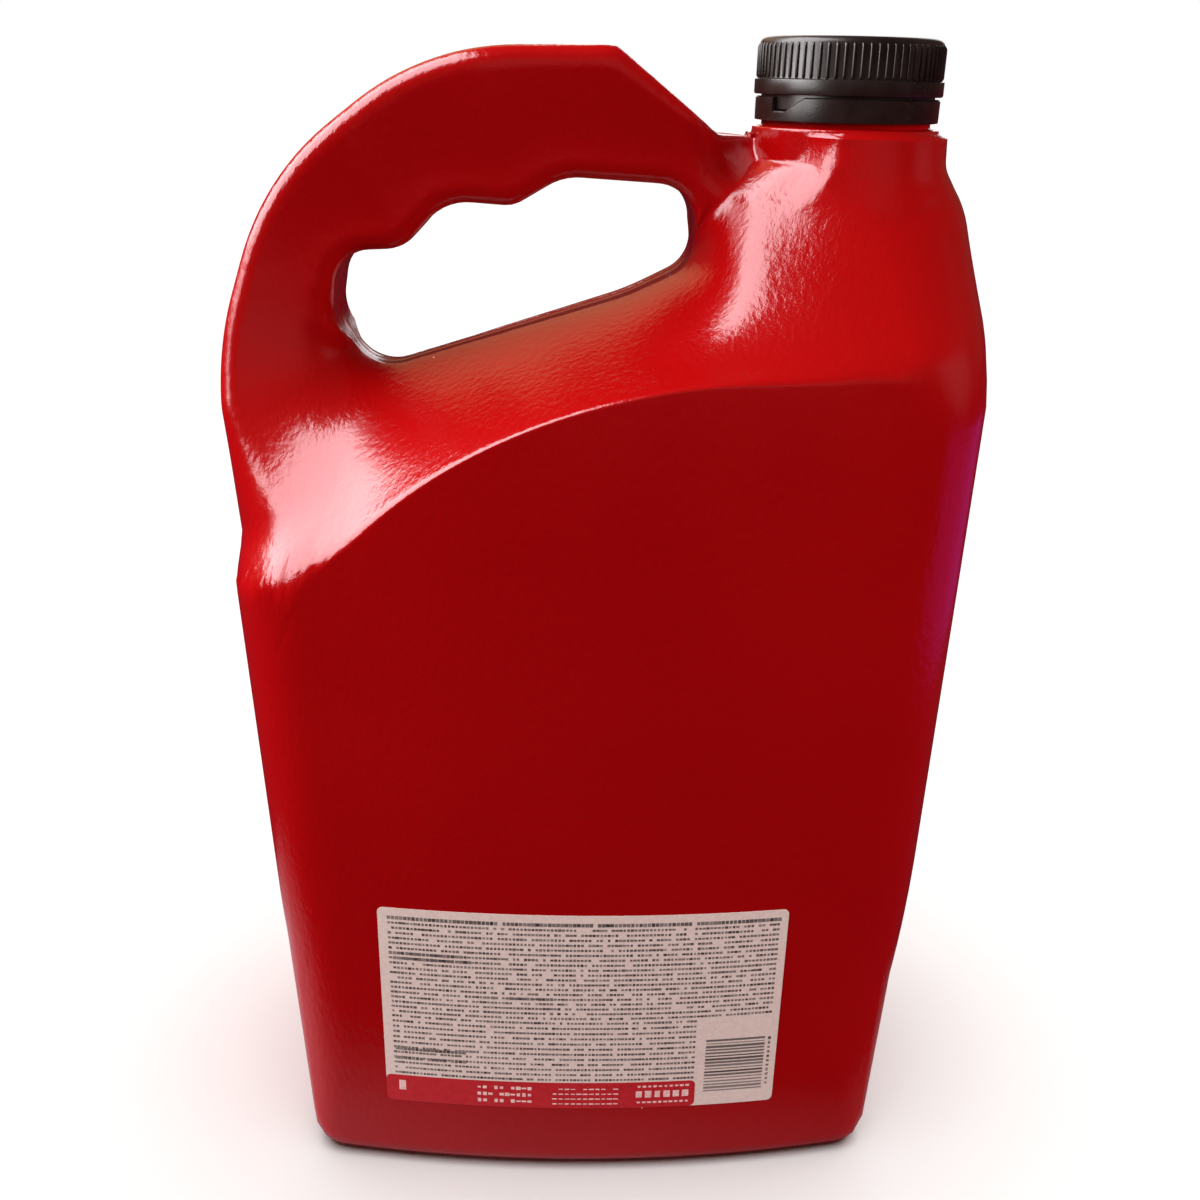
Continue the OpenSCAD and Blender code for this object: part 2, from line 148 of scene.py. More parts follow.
def add_node(tree, kind, inputs=None, **settings):
    """A new node with its settings, and its inputs linked or set."""
    node = tree.nodes.new(kind)
    for name, value in settings.items():
        setattr(node, name, value)
    for socket, value in (inputs or {}).items():
        if isinstance(value, bpy.types.NodeSocket):
            tree.links.new(value, node.inputs[socket])
        else:
            node.inputs[socket].default_value = value
    return node


# %% [markdown]
# The world is the room round the studio. Rays from the camera see it as plain pale air, and
# all others see it dim, which keeps the plastic deep in colour.

# %% World
world = bpy.data.worlds.new("studio_air")
bpy.context.scene.world = world
world.use_nodes = True
air = world.node_tree
air.nodes.clear()
seen = add_node(air, "ShaderNodeBackground", {"Color": (1, 1, 1, 1)})
felt = add_node(air, "ShaderNodeBackground", {"Color": (1, 0.5, 0.42, 1), "Strength": 0.09})
ray = add_node(air, "ShaderNodeLightPath").outputs["Is Camera Ray"]
choose = add_node(air, "ShaderNodeMixShader", {0: ray, 1: felt.outputs[0], 2: seen.outputs[0]})
add_node(air, "ShaderNodeOutputWorld", {0: choose.outputs[0]})
print("world", world.name, "with", len(air.nodes), "nodes")

# %% [markdown]
# Finishes are small node trees. Each one starts from a Principled shader whose plain values
# are set on its own sockets; only what varies over the surface is wired in. Patterns read
# Object coordinates, which are metres, so a scale of 1000 gives features of about 1 mm.

# %% Finish helpers


def finish_of(name, tint, roughness, **settings):
    """A new material, its node tree, its shader and its Object coordinates."""
    material = bpy.data.materials.new(name)
    material.use_nodes = True
    material.diffuse_color = (*tint, 1)
    tree = material.node_tree
    shader = tree.nodes["Principled BSDF"]
    shader.inputs["Base Color"].default_value = (*tint, 1)
    shader.inputs["Roughness"].default_value = roughness
    for socket, value in settings.items():
        shader.inputs[socket.replace("_", " ")].default_value = value
    where = tree.nodes.new("ShaderNodeTexCoord").outputs["Object"]
    return material, tree, shader, where


def noise(tree, where, scale, detail=2.0, stretch=(1, 1, 1)):
    """Value of a noise pattern, stretched along the axes."""
    mapping = add_node(tree, "ShaderNodeMapping", {"Vector": where, "Scale": stretch})
    placed = mapping.outputs[0]
    pattern = add_node(tree, "ShaderNodeTexNoise", {"Vector": placed, "Scale": scale, "Detail": detail})
    return pattern.outputs["Fac"]


def spread(tree, value, low, high, out_low, out_high):
    """A value moved from one range to another, and kept inside it."""
    node = add_node(tree, "ShaderNodeMapRange", {
        "Value": value, "From Min": low, "From Max": high, "To Min": out_low, "To Max": out_high,
    })
    return node.outputs["Result"]


def bumps(tree, shader, layers):
    """Stacks bump layers of (height, depth in metres) and wires them to the shader."""
    before = {}
    for height, depth in layers:
        node = add_node(tree, "ShaderNodeBump", {"Height": height, "Distance": depth, **before})
        before = {"Normal": node.outputs["Normal"]}
    tree.links.new(before["Normal"], shader.inputs["Normal"])


def mixed(tree, amount, first, second):
    """Colour between two colours, each a tuple or a socket."""
    ends = [(*end, 1) if isinstance(end, tuple) else end for end in (first, second)]
    node = add_node(tree, "ShaderNodeMix", {0: amount, 6: ends[0], 7: ends[1]}, data_type="RGBA")
    return node.outputs[2]


def combined(tree, operation, first, second):
    """Two values put through one math operation."""
    return add_node(tree, "ShaderNodeMath", {0: first, 1: second}, operation=operation).outputs[0]


# %% [markdown]
# The bottle is coloured polyethylene. Its skin copies a mould that was blasted with grit, so
# it is glossy yet finely pebbled: the edges of each reflection break up into short streaks.
# Two noises make that, one of about a millimetre and one much finer. The colour drifts a
# little, as the wall does in thickness, and a few specks of dust lie on it.

# %% Red bottle plastic
red_tint = (0.27, 0.0010, 0.0014)
red, tree, shader, where = finish_of(
    "jug_red_plastic", red_tint, 0.22, IOR=1.54, Specular_Tint=(1, 0.88, 0.92, 1)
)
drift = noise(tree, where, 14, 2.0)
toned = mixed(tree, spread(tree, drift, 0.35, 0.65, 0, 1), (0.26, 0.0008, 0.0013), (0.28, 0.0012, 0.0016))
cells = add_node(tree, "ShaderNodeTexVoronoi", {"Vector": where, "Scale": 70})
near_centre = spread(tree, cells.outputs["Distance"], 0.018, 0.024, 1, 0)
cell_pick = add_node(tree, "ShaderNodeSeparateColor", {0: cells.outputs["Color"]})
picked = spread(tree, cell_pick.outputs[0], 0.86, 0.88, 0, 1)
speck = combined(tree, "MULTIPLY", near_centre, picked)
tree.links.new(mixed(tree, speck, toned, (0.85, 0.55, 0.52)), shader.inputs["Base Color"])
pebble = noise(tree, where, 620, 3.0, (1, 1, 0.55))
grain = noise(tree, where, 2600, 1.0)
tree.links.new(spread(tree, drift, 0.3, 0.7, 0.13, 0.18), shader.inputs["Roughness"])
bumps(tree, shader, [(pebble, 0.00014), (grain, 0.00003)])
print("red plastic", red_tint)

# %% [markdown]
# The closure is black polypropylene with a satin skin. A faint brown warms it, and the high
# spots are a touch more worn than the rest.

# %% Black closure plastic
black, tree, shader, where = finish_of("cap_black_plastic", (0.008, 0.005, 0.004), 0.28)
wear = noise(tree, where, 90, 3.0)
tree.links.new(
    mixed(tree, spread(tree, wear, 0.4, 0.7, 0, 1), (0.006, 0.0038, 0.0032), (0.012, 0.008, 0.007)),
    shader.inputs["Base Color"],
)
tree.links.new(spread(tree, wear, 0.3, 0.7, 0.24, 0.34), shader.inputs["Roughness"])
bumps(tree, shader, [(noise(tree, where, 1800, 2.0), 0.00002)])
print("black plastic with", len(tree.nodes), "nodes")

# %% [markdown]
# The labels are printed film: a pale warm grey coat with the faint mottle of paper, and inks
# that lie on it. The ink of the small print is uneven, so its grey comes from a value that
# each printed dash carries.

# %% Label film, inks and sealing wad


def mottled(name, mean, first, second, roughness, scale, depth=0, detail=2.0, low=0.3):
    """A finish whose colour wavers between two, with a bump of the same pattern if it has depth."""
    material, tree, shader, where = finish_of(name, mean, roughness)
    pattern = noise(tree, where, scale, detail)
    amount = spread(tree, pattern, low, 1 - low, 0, 1)
    tree.links.new(mixed(tree, amount, first, second), shader.inputs["Base Color"])
    if depth:
        bumps(tree, shader, [(pattern, depth)])
    return material


film = mottled("label_film", (0.62, 0.52, 0.47), (0.59, 0.49, 0.445), (0.65, 0.55, 0.495),
               0.42, 900, 0.00001, 3.0, 0.35)
strip_red = mottled("ink_red", (0.40, 0.012, 0.018), (0.37, 0.009, 0.015), (0.43, 0.016, 0.022), 0.42, 700)
pale_ink = mottled("ink_pale", (0.72, 0.50, 0.47), (0.62, 0.36, 0.34), (0.76, 0.56, 0.53), 0.45, 700)
wad = mottled("liner_foam", (0.80, 0.80, 0.77), (0.76, 0.76, 0.73), (0.84, 0.84, 0.81), 0.7, 1500, 0.00004)

ink, tree, shader, where = finish_of("ink_grey", (0.10, 0.09, 0.09), 0.5)
shade = add_node(tree, "ShaderNodeAttribute", attribute_name="shade").outputs["Fac"]
tree.links.new(mixed(tree, shade, (0.03, 0.026, 0.025), (0.22, 0.19, 0.175)), shader.inputs["Base Color"])
print("finishes", [one.name for one in (film, strip_red, pale_ink, wad, ink)])

# %% [markdown]
# The floor is one wide pale sheet under the jug. It is part of the studio, not of the object.
# Its own sun lights it evenly and casts the soft shadow under the jug. The camera sees it
# pale. Bounced rays meet a pale patch near the jug, which shows as a veil on the plastic
# down there, and a deep red one further off, so the broad face keeps its colour.

# %% Floor


def add_mesh(name, points, faces, material, smooth=True):
    """An object at the origin from points in millimetres and their faces."""
    data = bpy.data.meshes.new(name)
    data.from_pydata((np.asarray(points, float) * MM).tolist(), [], faces)
    data.materials.append(material)
    data.polygons.foreach_set("use_smooth", [smooth] * len(data.polygons))
    data.update()
    made = bpy.data.objects.new(name, data)
    bpy.context.collection.objects.link(made)
    return made


reach = 12000
floor_pale, tree, shader, where = finish_of("floor_pale", (0.84, 0.84, 0.83), 0.8)
floor = add_mesh(
    "floor",
    [(-reach, -reach, -0.2), (reach, -reach, -0.2), (reach, reach, -0.2), (-reach, reach, -0.2)],
    [(0, 1, 2, 3)],
    floor_pale,
    smooth=False,
)
mottle = noise(tree, where, 6, 2.0)
tree.links.new(
    mixed(tree, spread(tree, mottle, 0.3, 0.7, 0, 1), (0.83, 0.83, 0.82), (0.85, 0.85, 0.84)),
    shader.inputs["Base Color"],
)
from_jug = add_node(tree, "ShaderNodeMapping", {
    "Vector": where, "Location": (0.31, 0, 0), "Scale": (6.2, 11.8, 1),
})
far = add_node(tree, "ShaderNodeVectorMath", {0: from_jug.outputs[0]}, operation="LENGTH")
far_off = spread(tree, far.outputs["Value"], 0.7, 1.2, 0, 1)
bounced = mixed(tree, far_off, (0.5, 0.34, 0.38), (0.09, 0.010, 0.016))
dim = add_node(tree, "ShaderNodeBsdfDiffuse", {"Color": bounced})
ray = add_node(tree, "ShaderNodeLightPath").outputs["Is Camera Ray"]
either = add_node(tree, "ShaderNodeMixShader", {0: ray, 1: dim.outputs[0], 2: shader.outputs[0]})
tree.links.new(either.outputs[0], tree.nodes["Material Output"].inputs["Surface"])

sun_data = bpy.data.lights.new("floor_sun", "SUN")
sun_data.energy = 4.2
sun_data.angle = math.radians(70)
sun = bpy.data.objects.new("floor_sun", sun_data)
bpy.context.collection.objects.link(sun)
for lamp, state in [(sun, "INCLUDE")] + [(one, "EXCLUDE") for one in object_lights]:
    group = bpy.data.collections.new(lamp.name + "_floor")
    group.objects.link(floor)
    lamp.light_linking.receiver_collection = group
    group.collection_objects[0].light_linking.link_state = state
print("floor", 2 * reach, "mm wide")

# %% [markdown]
# A blow-moulded bottle is two half moulds closed on a flat parting plane. So its form is a
# drawing in that plane, plus a half depth at every point of the drawing. First the drawing:
# an outer outline, and the outline of the hand opening. Each corner carries the radius that
# rounds the drawing there and the radius that rounds the body's edge over it.

# %% Outlines in the parting plane
base_w = 160
half_w = 91.5
crease_z = 228
panel_bow = 10
crease_soft = 1.6
side_r = 17
base_edge_r = 7
wall = 1
handle_top = 297
full_r = 15
handle_r = 5
handle_reach = 97
hole_x = -23
hole_z = 243.8
hole_a = 44.4
hole_b = 24.2
finger_drop = 7
neck_r = 22.6
neck_z = 280.7
rim_z = neck_z - 2.2
flare_z = neck_z - 8
parting = 0.6
web_reach = 17
facet_lack = 0.18
bow_k = panel_bow / half_w ** 2

outer_outline = [
    (base_w / 2, 0, 9, base_edge_r),
    (half_w - 2.6, 75, 400, side_r),
    (half_w - facet_lack, crease_z - 6, 10, side_r),
    (half_w - 1, crease_z + 10, 30, side_r + 7),
    (neck_x + neck_r + 5.5, flare_z - 9.5, 26, side_r + 7),
    (neck_x + neck_r, flare_z - 1, 6, neck_r),
    (neck_x + neck_r, rim_z, 0, neck_r),
    (neck_x - neck_r, rim_z, 0, 1.2),
    (neck_x - neck_r, flare_z + 4.9, 1.5, 1.2),
    (neck_x - neck_r - 9.6, flare_z + 5.5, 4, 2),
    (neck_x - neck_r - 34.3, handle_top + 0.2, 3.8, handle_r),
    (-handle_reach + 54.6, handle_top - 0.8, 70, handle_r),
    (-handle_reach + 14.9, handle_top - 30.4, 95, handle_r),
    (-handle_reach + 1.2 + facet_lack, handle_top - 70.4, 70, handle_r),
    (-handle_reach + 4.2, crease_z - 47.4, 200, side_r + 3),
    (-half_w + 4.2, 75, 300, side_r),
    (-base_w / 2, 0, 9, base_edge_r),
]
hole_outline = [
    (hole_x + hole_a, hole_z + hole_b - 1.6, 10, handle_r),
    (hole_x + hole_a - 32, hole_z + hole_b, 14, handle_r),
    (hole_x + hole_a - 44, hole_z + hole_b - finger_drop, 8, handle_r),
    (hole_x + hole_a - 60.5, hole_z + hole_b - finger_drop + 1, 13, handle_r),
    (hole_x - hole_a + 18, hole_z + hole_b - 17.4, 10, handle_r),
    (hole_x - hole_a + 1.8, hole_z + hole_b - 18.2, 11, handle_r),
    (hole_x - hole_a - 0.3, hole_z - 10.3, 12, handle_r + 1.5),
    (hole_x - hole_a + 8.8, hole_z - hole_b - 0.3, 11, full_r),
    (hole_x + hole_a - 16, hole_z - 4.2, 60, full_r),
    (hole_x + hole_a, hole_z + 3.7, 9, full_r - 2),
]
print(len(outer_outline), "outer corners,", len(hole_outline), "corners round the hand opening")

# %% [markdown]
# The flat panel ends in a crease that climbs from the left edge as a quarter ellipse and
# then runs level. The panel is the lower side of it, and the shoulder falls away above.

# %% The crease
crease_left = 37
crease_a = half_w + 33.2
crease_b = 107.8
crease_top = crease_z + 1.3
crease_mid = crease_top - crease_b
print(f"crease level at {crease_top:.1f} mm, its ellipse {2 * crease_a:.0f} by {2 * crease_b:.0f} mm")

# %% [markdown]
# Each outline becomes a closed polyline. A rounded corner is an arc of a dozen short sides,
# held within the two sides that it joins.

# %% Outlines to loops
arc_steps = 12
side_share = 0.48


def corner_arc(before, corner, after):
    """Points (x, z, edge radius) of one rounded corner."""
    a, b, c = (np.array(p[:2], float) for p in (before, corner, after))
    if corner[2] == 0:
        return [(b[0], b[1], corner[3])]
    u = (b - a) / np.linalg.norm(b - a)
    v = (c - b) / np.linalg.norm(c - b)
    bend = math.atan2(u[0] * v[1] - u[1] * v[0], u @ v)
    room = side_share * min(np.linalg.norm(b - a), np.linalg.norm(c - b))
    cut = min(corner[2] * math.tan(abs(bend) / 2), room)
    radius = cut / math.tan(abs(bend) / 2)
    middle = b - u * cut + math.copysign(radius, bend) * np.array([-u[1], u[0]])
    arm = b - u * cut - middle
    points = []
    for i in range(arc_steps + 1):
        w = bend * i / arc_steps
        cos, sin = math.cos(w), math.sin(w)
        points.append((
            middle[0] + arm[0] * cos - arm[1] * sin,
            middle[1] + arm[0] * sin + arm[1] * cos, corner[3],
        ))
    return points


class Loop:
    """A closed polyline with the length run at each corner of its outline."""

    def __init__(self, outline):
        n = len(outline)
        arcs = [corner_arc(outline[i - 1], outline[i], outline[(i + 1) % n]) for i in range(n)]
        self.points = np.array([p for arc in arcs for p in arc])
        ring = np.vstack([self.points, self.points[:1]])
        steps = np.linalg.norm(np.diff(ring[:, :2], axis=0), axis=1)
        self.ring = ring
        self.run = np.concatenate([[0], np.cumsum(steps)])
        starts = np.cumsum([0] + [len(arc) for arc in arcs[:-1]])
        self.corner_run = [self.run[s + len(arc) // 2] for s, arc in zip(starts, arcs)]

    def length_at(self, place):
        """Length run at a place counted in corners, such as 2.5."""
        n = len(self.corner_run)
        total = self.run[-1]
        whole = math.floor(place)
        ends = [(k // n) * total + self.corner_run[k % n] for k in (whole, whole + 1)]
        return ends[0] + (ends[1] - ends[0]) * (place - whole)

    def at(self, lengths):
        """Points (x, z, edge radius) at lengths along the loop."""
        s = np.mod(lengths, self.run[-1])
        return np.stack([np.interp(s, self.run, self.ring[:, k]) for k in range(3)], axis=-1)

    def segments(self):
        """Start and end of each side, as (x, z, edge radius)."""
        a = self.ring[:-1]
        b = self.ring[1:]
        keep = np.linalg.norm((b - a)[:, :2], axis=1) > 1e-6
        return a[keep], b[keep]


outer, hole = Loop(outer_outline), Loop(hole_outline)
print(f"outline {outer.run[-1]:.0f} mm round, hand opening {hole.run[-1]:.0f} mm round")

# %% [markdown]
# Now the half depth. Away from its edges the body is a bowed panel. Above the crease a roof
# falls from the crease to the hand opening, the handle keeps its own thickness, and a cone
# grows down out of the neck. Soft maximum and soft minimum blend them as moulded plastic
# does, and the rounded edges are taken off at the end.

# %% Fields to build the half depth from


def soft_max(a, b, k):
    """Larger of two fields, with a fillet of about k."""
    h = np.clip(0.5 + 0.5 * (a - b) / k, 0, 1)
    return b + (a - b) * h + k * h * (1 - h)


def smooth_step(v):
    """Rises smoothly from 0 to 1 as v goes from 0 to 1."""
    c = np.clip(v, 0, 1)
    return c * c * (3 - 2 * c)


def to_sides(p, loop):
    """Distance from each point to each side of a loop, and the edge radius there."""
    a, b = loop.segments()
    ab = (b - a)[:, :2]
    ap = p[:, None, :] - a[None, :, :2]
    t = np.clip((ap * ab).sum(-1) / (ab * ab).sum(-1), 0, 1)
    gap = np.linalg.norm(ap - t[..., None] * ab, axis=-1)
    radius = a[:, 2] + (b - a)[:, 2] * t
    on_rim = (np.abs(a[:, 1] - rim_z) < 1e-6) & (np.abs(b[:, 1] - rim_z) < 1e-6)
    return gap, radius, on_rim


def rounding(p, loop):
    """How far the rounded edges along a loop take the surface back."""
    gap, radius, on_rim = to_sides(p, loop)
    lack = np.maximum(radius - gap, 0)
    back = radius - np.sqrt(np.maximum(radius ** 2 - lack ** 2, 0))
    back[:, on_rim] = 0
    return back.max(axis=1)


def panel_depth(x):
    """Half depth of the bowed panel."""
    return half_d - bow_k * x * x


def over_crease(x, z):
    """Height over the crease, negative below it."""
    dx = np.minimum(x - crease_left, 0) / crease_a
    dz = (z - crease_mid) / crease_b
    q = np.maximum(np.hypot(dx, dz), 0.01)
    slope = np.hypot(dx / crease_a, dz / crease_b) / q
    return np.where(dz < 0, (np.abs(dx) - 1) * crease_a, (q - 1) / slope)


# %% Half depth of the bottle
fade_low = 118
fade_rise = 45
roof_least = 4
roof_power = 0.85
ledge = 0.5
ledge_fall = 1.2
cone_spread = 0.4
cone_power = 1.13
cone_lean = 1.5
onset_reach = 14
web_least = 0.18
grip_blend = 8
neck_blend = 2.5
cone_blend = 5.5
blend_fall = 28


def half_depth(p):
    """Half depth at points (x, z) of the parting plane."""
    x, z = p[:, 0], p[:, 1]
    panel = panel_depth(x)
    fade = smooth_step((z - fade_low) / fade_rise)
    u = over_crease(x, z) * fade
    e = to_sides(p, hole)[0].min(axis=1)
    roof = panel * (e / np.maximum(e + u, roof_least)) ** roof_power
    fall = np.maximum(flare_z - z, 0)
    flare = neck_r + ledge * smooth_step(fall / ledge_fall) + cone_spread * fall ** cone_power
    side = np.minimum(x - neck_x, 0) / (neck_r + cone_lean * fall)
    onset = 1 - np.minimum(e / onset_reach, 1)
    cone = flare * np.sqrt(np.maximum(1 - side ** 2, 0)) * np.sqrt(1 - onset ** 2)
    grip = full_r - rounding(p, hole)
    from_neck = np.hypot(x - neck_x + neck_r, z - rim_z + 1)
    thin = web_least + (1 - web_least) * smooth_step(from_neck / web_reach)
    blend = neck_blend + cone_blend * smooth_step(fall / blend_fall)
    shoulder = soft_max(soft_max(grip, roof, grip_blend) * thin, cone, blend)
    body = -soft_max(-panel, -shoulder, 0.05 + crease_soft * fade)
    return np.maximum(body - rounding(p, outer), parting)


# %% [markdown]
# The mesh runs in straight rays from the hand opening to the outside. Rows are close together
# where the form turns: at both rounded edges, and where a ray crosses the crease. Rays that
# miss the crease ease their rows back to an even spread.

# %% Rays over the broad face
spans = [
    (0, 8.3, 10), (2.2, 9, 5), (4, 9.15, 4), (5.5, 9.3, 2), (6, 9.35, 18), (7, 9.6, 2),
    (9, 9.9, 3), (10, 10.6, 6), (11.5, 13.2, 6), (12.6, 15.5, 5), (13.6, 16.4, 4),
    (14.3, 17, 9), (16, 17.35, 13), (17, 18.3, 0),
]
neck_span = 4
density = 4
edge_most = 0.42

places = []
for j, (now, then) in enumerate(zip(spans[:-1], spans[1:])):
    count = now[2] * density
    f = np.arange(count) / count
    eased = (1 - np.cos(math.pi * f)) / 2 if j == neck_span else f
    if j == neck_span:
        first_rim, last_rim = len(places), len(places) + count
    ends = [(loop.length_at(now[k]), loop.length_at(then[k])) for k, loop in enumerate((outer, hole))]
    for n in range(count):
        places.append([
            ends[0][0] + (ends[0][1] - ends[0][0]) * eased[n],
            ends[1][0] + (ends[1][1] - ends[1][0]) * f[n],
        ])
places = np.array(places)
out_end, hole_end = outer.at(places[:, 0]), hole.at(places[:, 1])
rays = len(places)
length = np.linalg.norm((out_end - hole_end)[:, :2], axis=1)
hole_share = np.minimum(hole_end[:, 2] / length, edge_most)
edge_share = np.minimum(out_end[:, 2] / length, edge_most)


def on_ray(share):
    """Points (x, z) at a share of each ray, as an array of rays by shares."""
    return hole_end[:, None, :2] + (out_end - hole_end)[:, None, :2] * share[..., None]


# %% Where the rays cross the crease
usual_share = 0.6
near_gap = 2.2
tries = np.linspace(0, 1, 500)
along = on_ray(np.tile(tries, (rays, 1)))
height = over_crease(along[..., 0], along[..., 1])
crosses = (height[:, :-1] > 0) & (height[:, 1:] <= 0) & (along[:, 1:, 1] > crease_mid)
found = crosses.any(axis=1)
last_over = crosses.argmax(axis=1)
over, under = height[np.arange(rays), last_over], height[np.arange(rays), last_over + 1]
share_found = tries[last_over] + tries[1] * np.clip(over / np.maximum(over - under, 1e-9), 0, 1)
index = np.arange(rays)
known = index[found]
nearest = known[np.abs((index[:, None] - known[None, :] + rays / 2) % rays - rays / 2).argmin(axis=1)]
away = np.abs((index - nearest + rays / 2) % rays - rays / 2)
pull = np.exp(-(away / (3 * density)) ** 2)
crease_share = usual_share + (share_found[nearest] - usual_share) * pull
near = near_gap / length
crease_share = np.minimum(crease_share, 1 - edge_share - np.where(found, 0.06, 0.1))
hole_share = np.where(found, np.minimum(hole_share, crease_share - 1.6 * near), hole_share)
room = 1 - edge_share - hole_share
crease_share = np.maximum(crease_share, hole_share + np.where(found, 0, 0.4) * room)
near = np.minimum(near, 0.3 * np.minimum(crease_share - hole_share, 1 - edge_share - crease_share))
print("least room beside the crease", round(float((near * length).min()), 2), "mm")

# %% Rows along the rays
near_rows = (-0.7, -0.45, -0.2, 0, 0.2, 0.45, 0.7)
turn_rows = 1 - np.cos(np.radians(np.linspace(0, 90, 8)))
rows = [hole_share * t for t in turn_rows]
start, stop = hole_share, crease_share - near
rows += [start + (stop - start) * t for t in np.linspace(0, 1, 8)[1:]]
rows += [crease_share + near * t for t in near_rows]
start, stop = crease_share + near, 1 - edge_share
rows += [start + (stop - start) * t for t in np.linspace(0, 1, 9)[:-1]]
rows += [1 - edge_share * t for t in turn_rows[::-1]]
flat_points = on_ray(np.stack(rows, axis=1))
row_count = flat_points.shape[1]
depths = half_depth(flat_points.reshape(-1, 2)).reshape(rays, row_count)
print(rays, "rays of", row_count, "rows; deepest", round(float(depths.max()), 2), "mm")

# %% [markdown]
# Each ray closes into a ring: over the front, across the side wall, over the back and through
# the hand opening. The walls carry the fine raised line that the closing moulds leave.

# %% Rings with side walls and the parting line
line_height = 0.15
line_half = 0.45
wall_shares = (0.96, 0.87, 0.7, 0.45, 0.2)


def wall_rows(edge, centre_side):
    """Points across a wall from y = -depth to +depth, and how far each is set back."""
    depth = edge[:, 1]
    ys, back = [], []
    for share in wall_shares:
        ys.append(line_half + (depth - line_half) * share)
        back.append(line_height)
    for y, height in ((line_half, 0), (line_half / 3, 0.8)):
        ys.append(np.full(len(depth), y))
        back.append(line_height * (1 - height))
    ys = [-y for y in ys] + [np.zeros(len(depth))] + ys[::-1]
    back = back + [0] + back[::-1]
    ahead_point = np.roll(edge, -1, axis=0)
    behind_point = np.roll(edge, 1, axis=0)
    along = (ahead_point - behind_point)[:, [0, 2]]
    normal = np.stack([along[:, 1], -along[:, 0]], axis=1)
    normal = centre_side * normal / np.maximum(np.linalg.norm(normal, axis=1), 1e-9)[:, None]
    made = []
    for y, off in zip(ys, back):
        made.append(np.stack([edge[:, 0] + normal[:, 0] * off, y, edge[:, 2] + normal[:, 1] * off], axis=1))
    return made


front = np.stack([flat_points[..., 0], -depths, flat_points[..., 1]], axis=-1)
rear = front * (1, -1, 1)
outer_edge = np.stack([front[:, -1, 0], depths[:, -1], front[:, -1, 2]], axis=1)
hole_edge = np.stack([front[:, 0, 0], depths[:, 0], front[:, 0, 2]], axis=1)
side_wall = wall_rows(outer_edge, -1)
hole_wall = wall_rows(hole_edge, 1)
ring = [front[:, k] for k in range(row_count)] + side_wall
ring += [rear[:, k] for k in range(row_count - 1, -1, -1)] + hole_wall[::-1]
skin = np.stack(ring, axis=1)
ring_length = skin.shape[1]
print("each ring has", ring_length, "points")

# %% [markdown]
# A bottle stands on the rim of its base: the middle is pushed up so that it can't rock.

# %% Base push-up
push_up = 2.2
on_base = (skin[..., 2] < line_height + 0.01) & (np.abs(skin[..., 0]) < base_w / 2 - 8)
inset = np.minimum(
    base_w / 2 - 9 - np.abs(skin[..., 0]),
    panel_depth(skin[..., 0]) - base_edge_r - np.abs(skin[..., 1]),
)
skin[..., 2] += np.where(on_base, push_up * smooth_step((inset - 3) / 11), 0)
print("base pushed up by", round(float(skin[..., 2][on_base].max()), 2), "mm")

# %% [markdown]
# The inner face of the wall lies square in from the outer one. The two are joined only at
# the mouth, by the threaded finish, so the bottle is one closed skin and really hollow.

# %% Inner face
along_rays = np.roll(skin, -1, axis=0) - np.roll(skin, 1, axis=0)
along_ring = np.roll(skin, -1, axis=1) - np.roll(skin, 1, axis=1)
outward = np.cross(along_ring, along_rays)
outward /= np.maximum(np.linalg.norm(outward, axis=-1), 1e-12)[..., None]
rim_zone = slice(row_count - 1, row_count + len(side_wall) + 1)
radial = skin - (neck_x, 0, 0)
radial[..., 2] = 0
radial /= np.maximum(np.linalg.norm(radial, axis=-1), 1e-9)[..., None]
outward[first_rim:last_rim + 1, rim_zone] = radial[first_rim:last_rim + 1, rim_zone]
lining = skin - outward * wall
print("skin faces outwards:", bool(outward[0, row_count // 2 + 4, 1] < 0))

# %% [markdown]
# The finish is turned about the neck's axis: a rim, the ledge that the tamper band sits on,
# the bead that holds the band down, the thread, the mouth, and back down the bore. The
# thread is a ridge on a helix that rises 4.23 mm a turn and fades at both ends.

# %% Finish of the neck
band_z = band_low[2]
finish_z = jug_high[2]
crest_r = 18.9
finish_r = 17.7
bead_r = 19.55
foot_r = 18.6
ledge_r = 20.4
bore_r = 15.9
pitch = 4.23
thread_start = band_z + 6.2
thread_turns = 1.6

finish_rows = [
    (neck_r, rim_z + 0.7), (neck_r, band_z - 1.9), (neck_r - 0.1, band_z - 1.6),
    (neck_r - 0.45, band_z - 1.4), (ledge_r + 0.2, band_z - 1.25), (ledge_r, band_z - 1.1),
    (ledge_r, band_z - 0.1), (ledge_r - 0.1, band_z), (foot_r + 0.1, band_z),
    (foot_r, band_z + 0.1), (foot_r, band_z + 2.3), (bead_r - 0.1, band_z + 2.8),
    (bead_r, band_z + 3.0), (bead_r, band_z + 3.5), (bead_r - 0.15, band_z + 3.8),
    (finish_r, band_z + 5),
]
finish_rows += [(finish_r, z) for z in np.arange(band_z + 5.2, finish_z - 0.8, 0.24)]
finish_rows += [
    (finish_r, finish_z - 0.6), (finish_r - 0.18, finish_z - 0.18), (finish_r - 0.6, finish_z),
    (bore_r + 0.3, finish_z), (bore_r + 0.08, finish_z - 0.08), (bore_r, finish_z - 0.3),
    (bore_r, band_z), (bore_r, neck_z + 0.6),
]


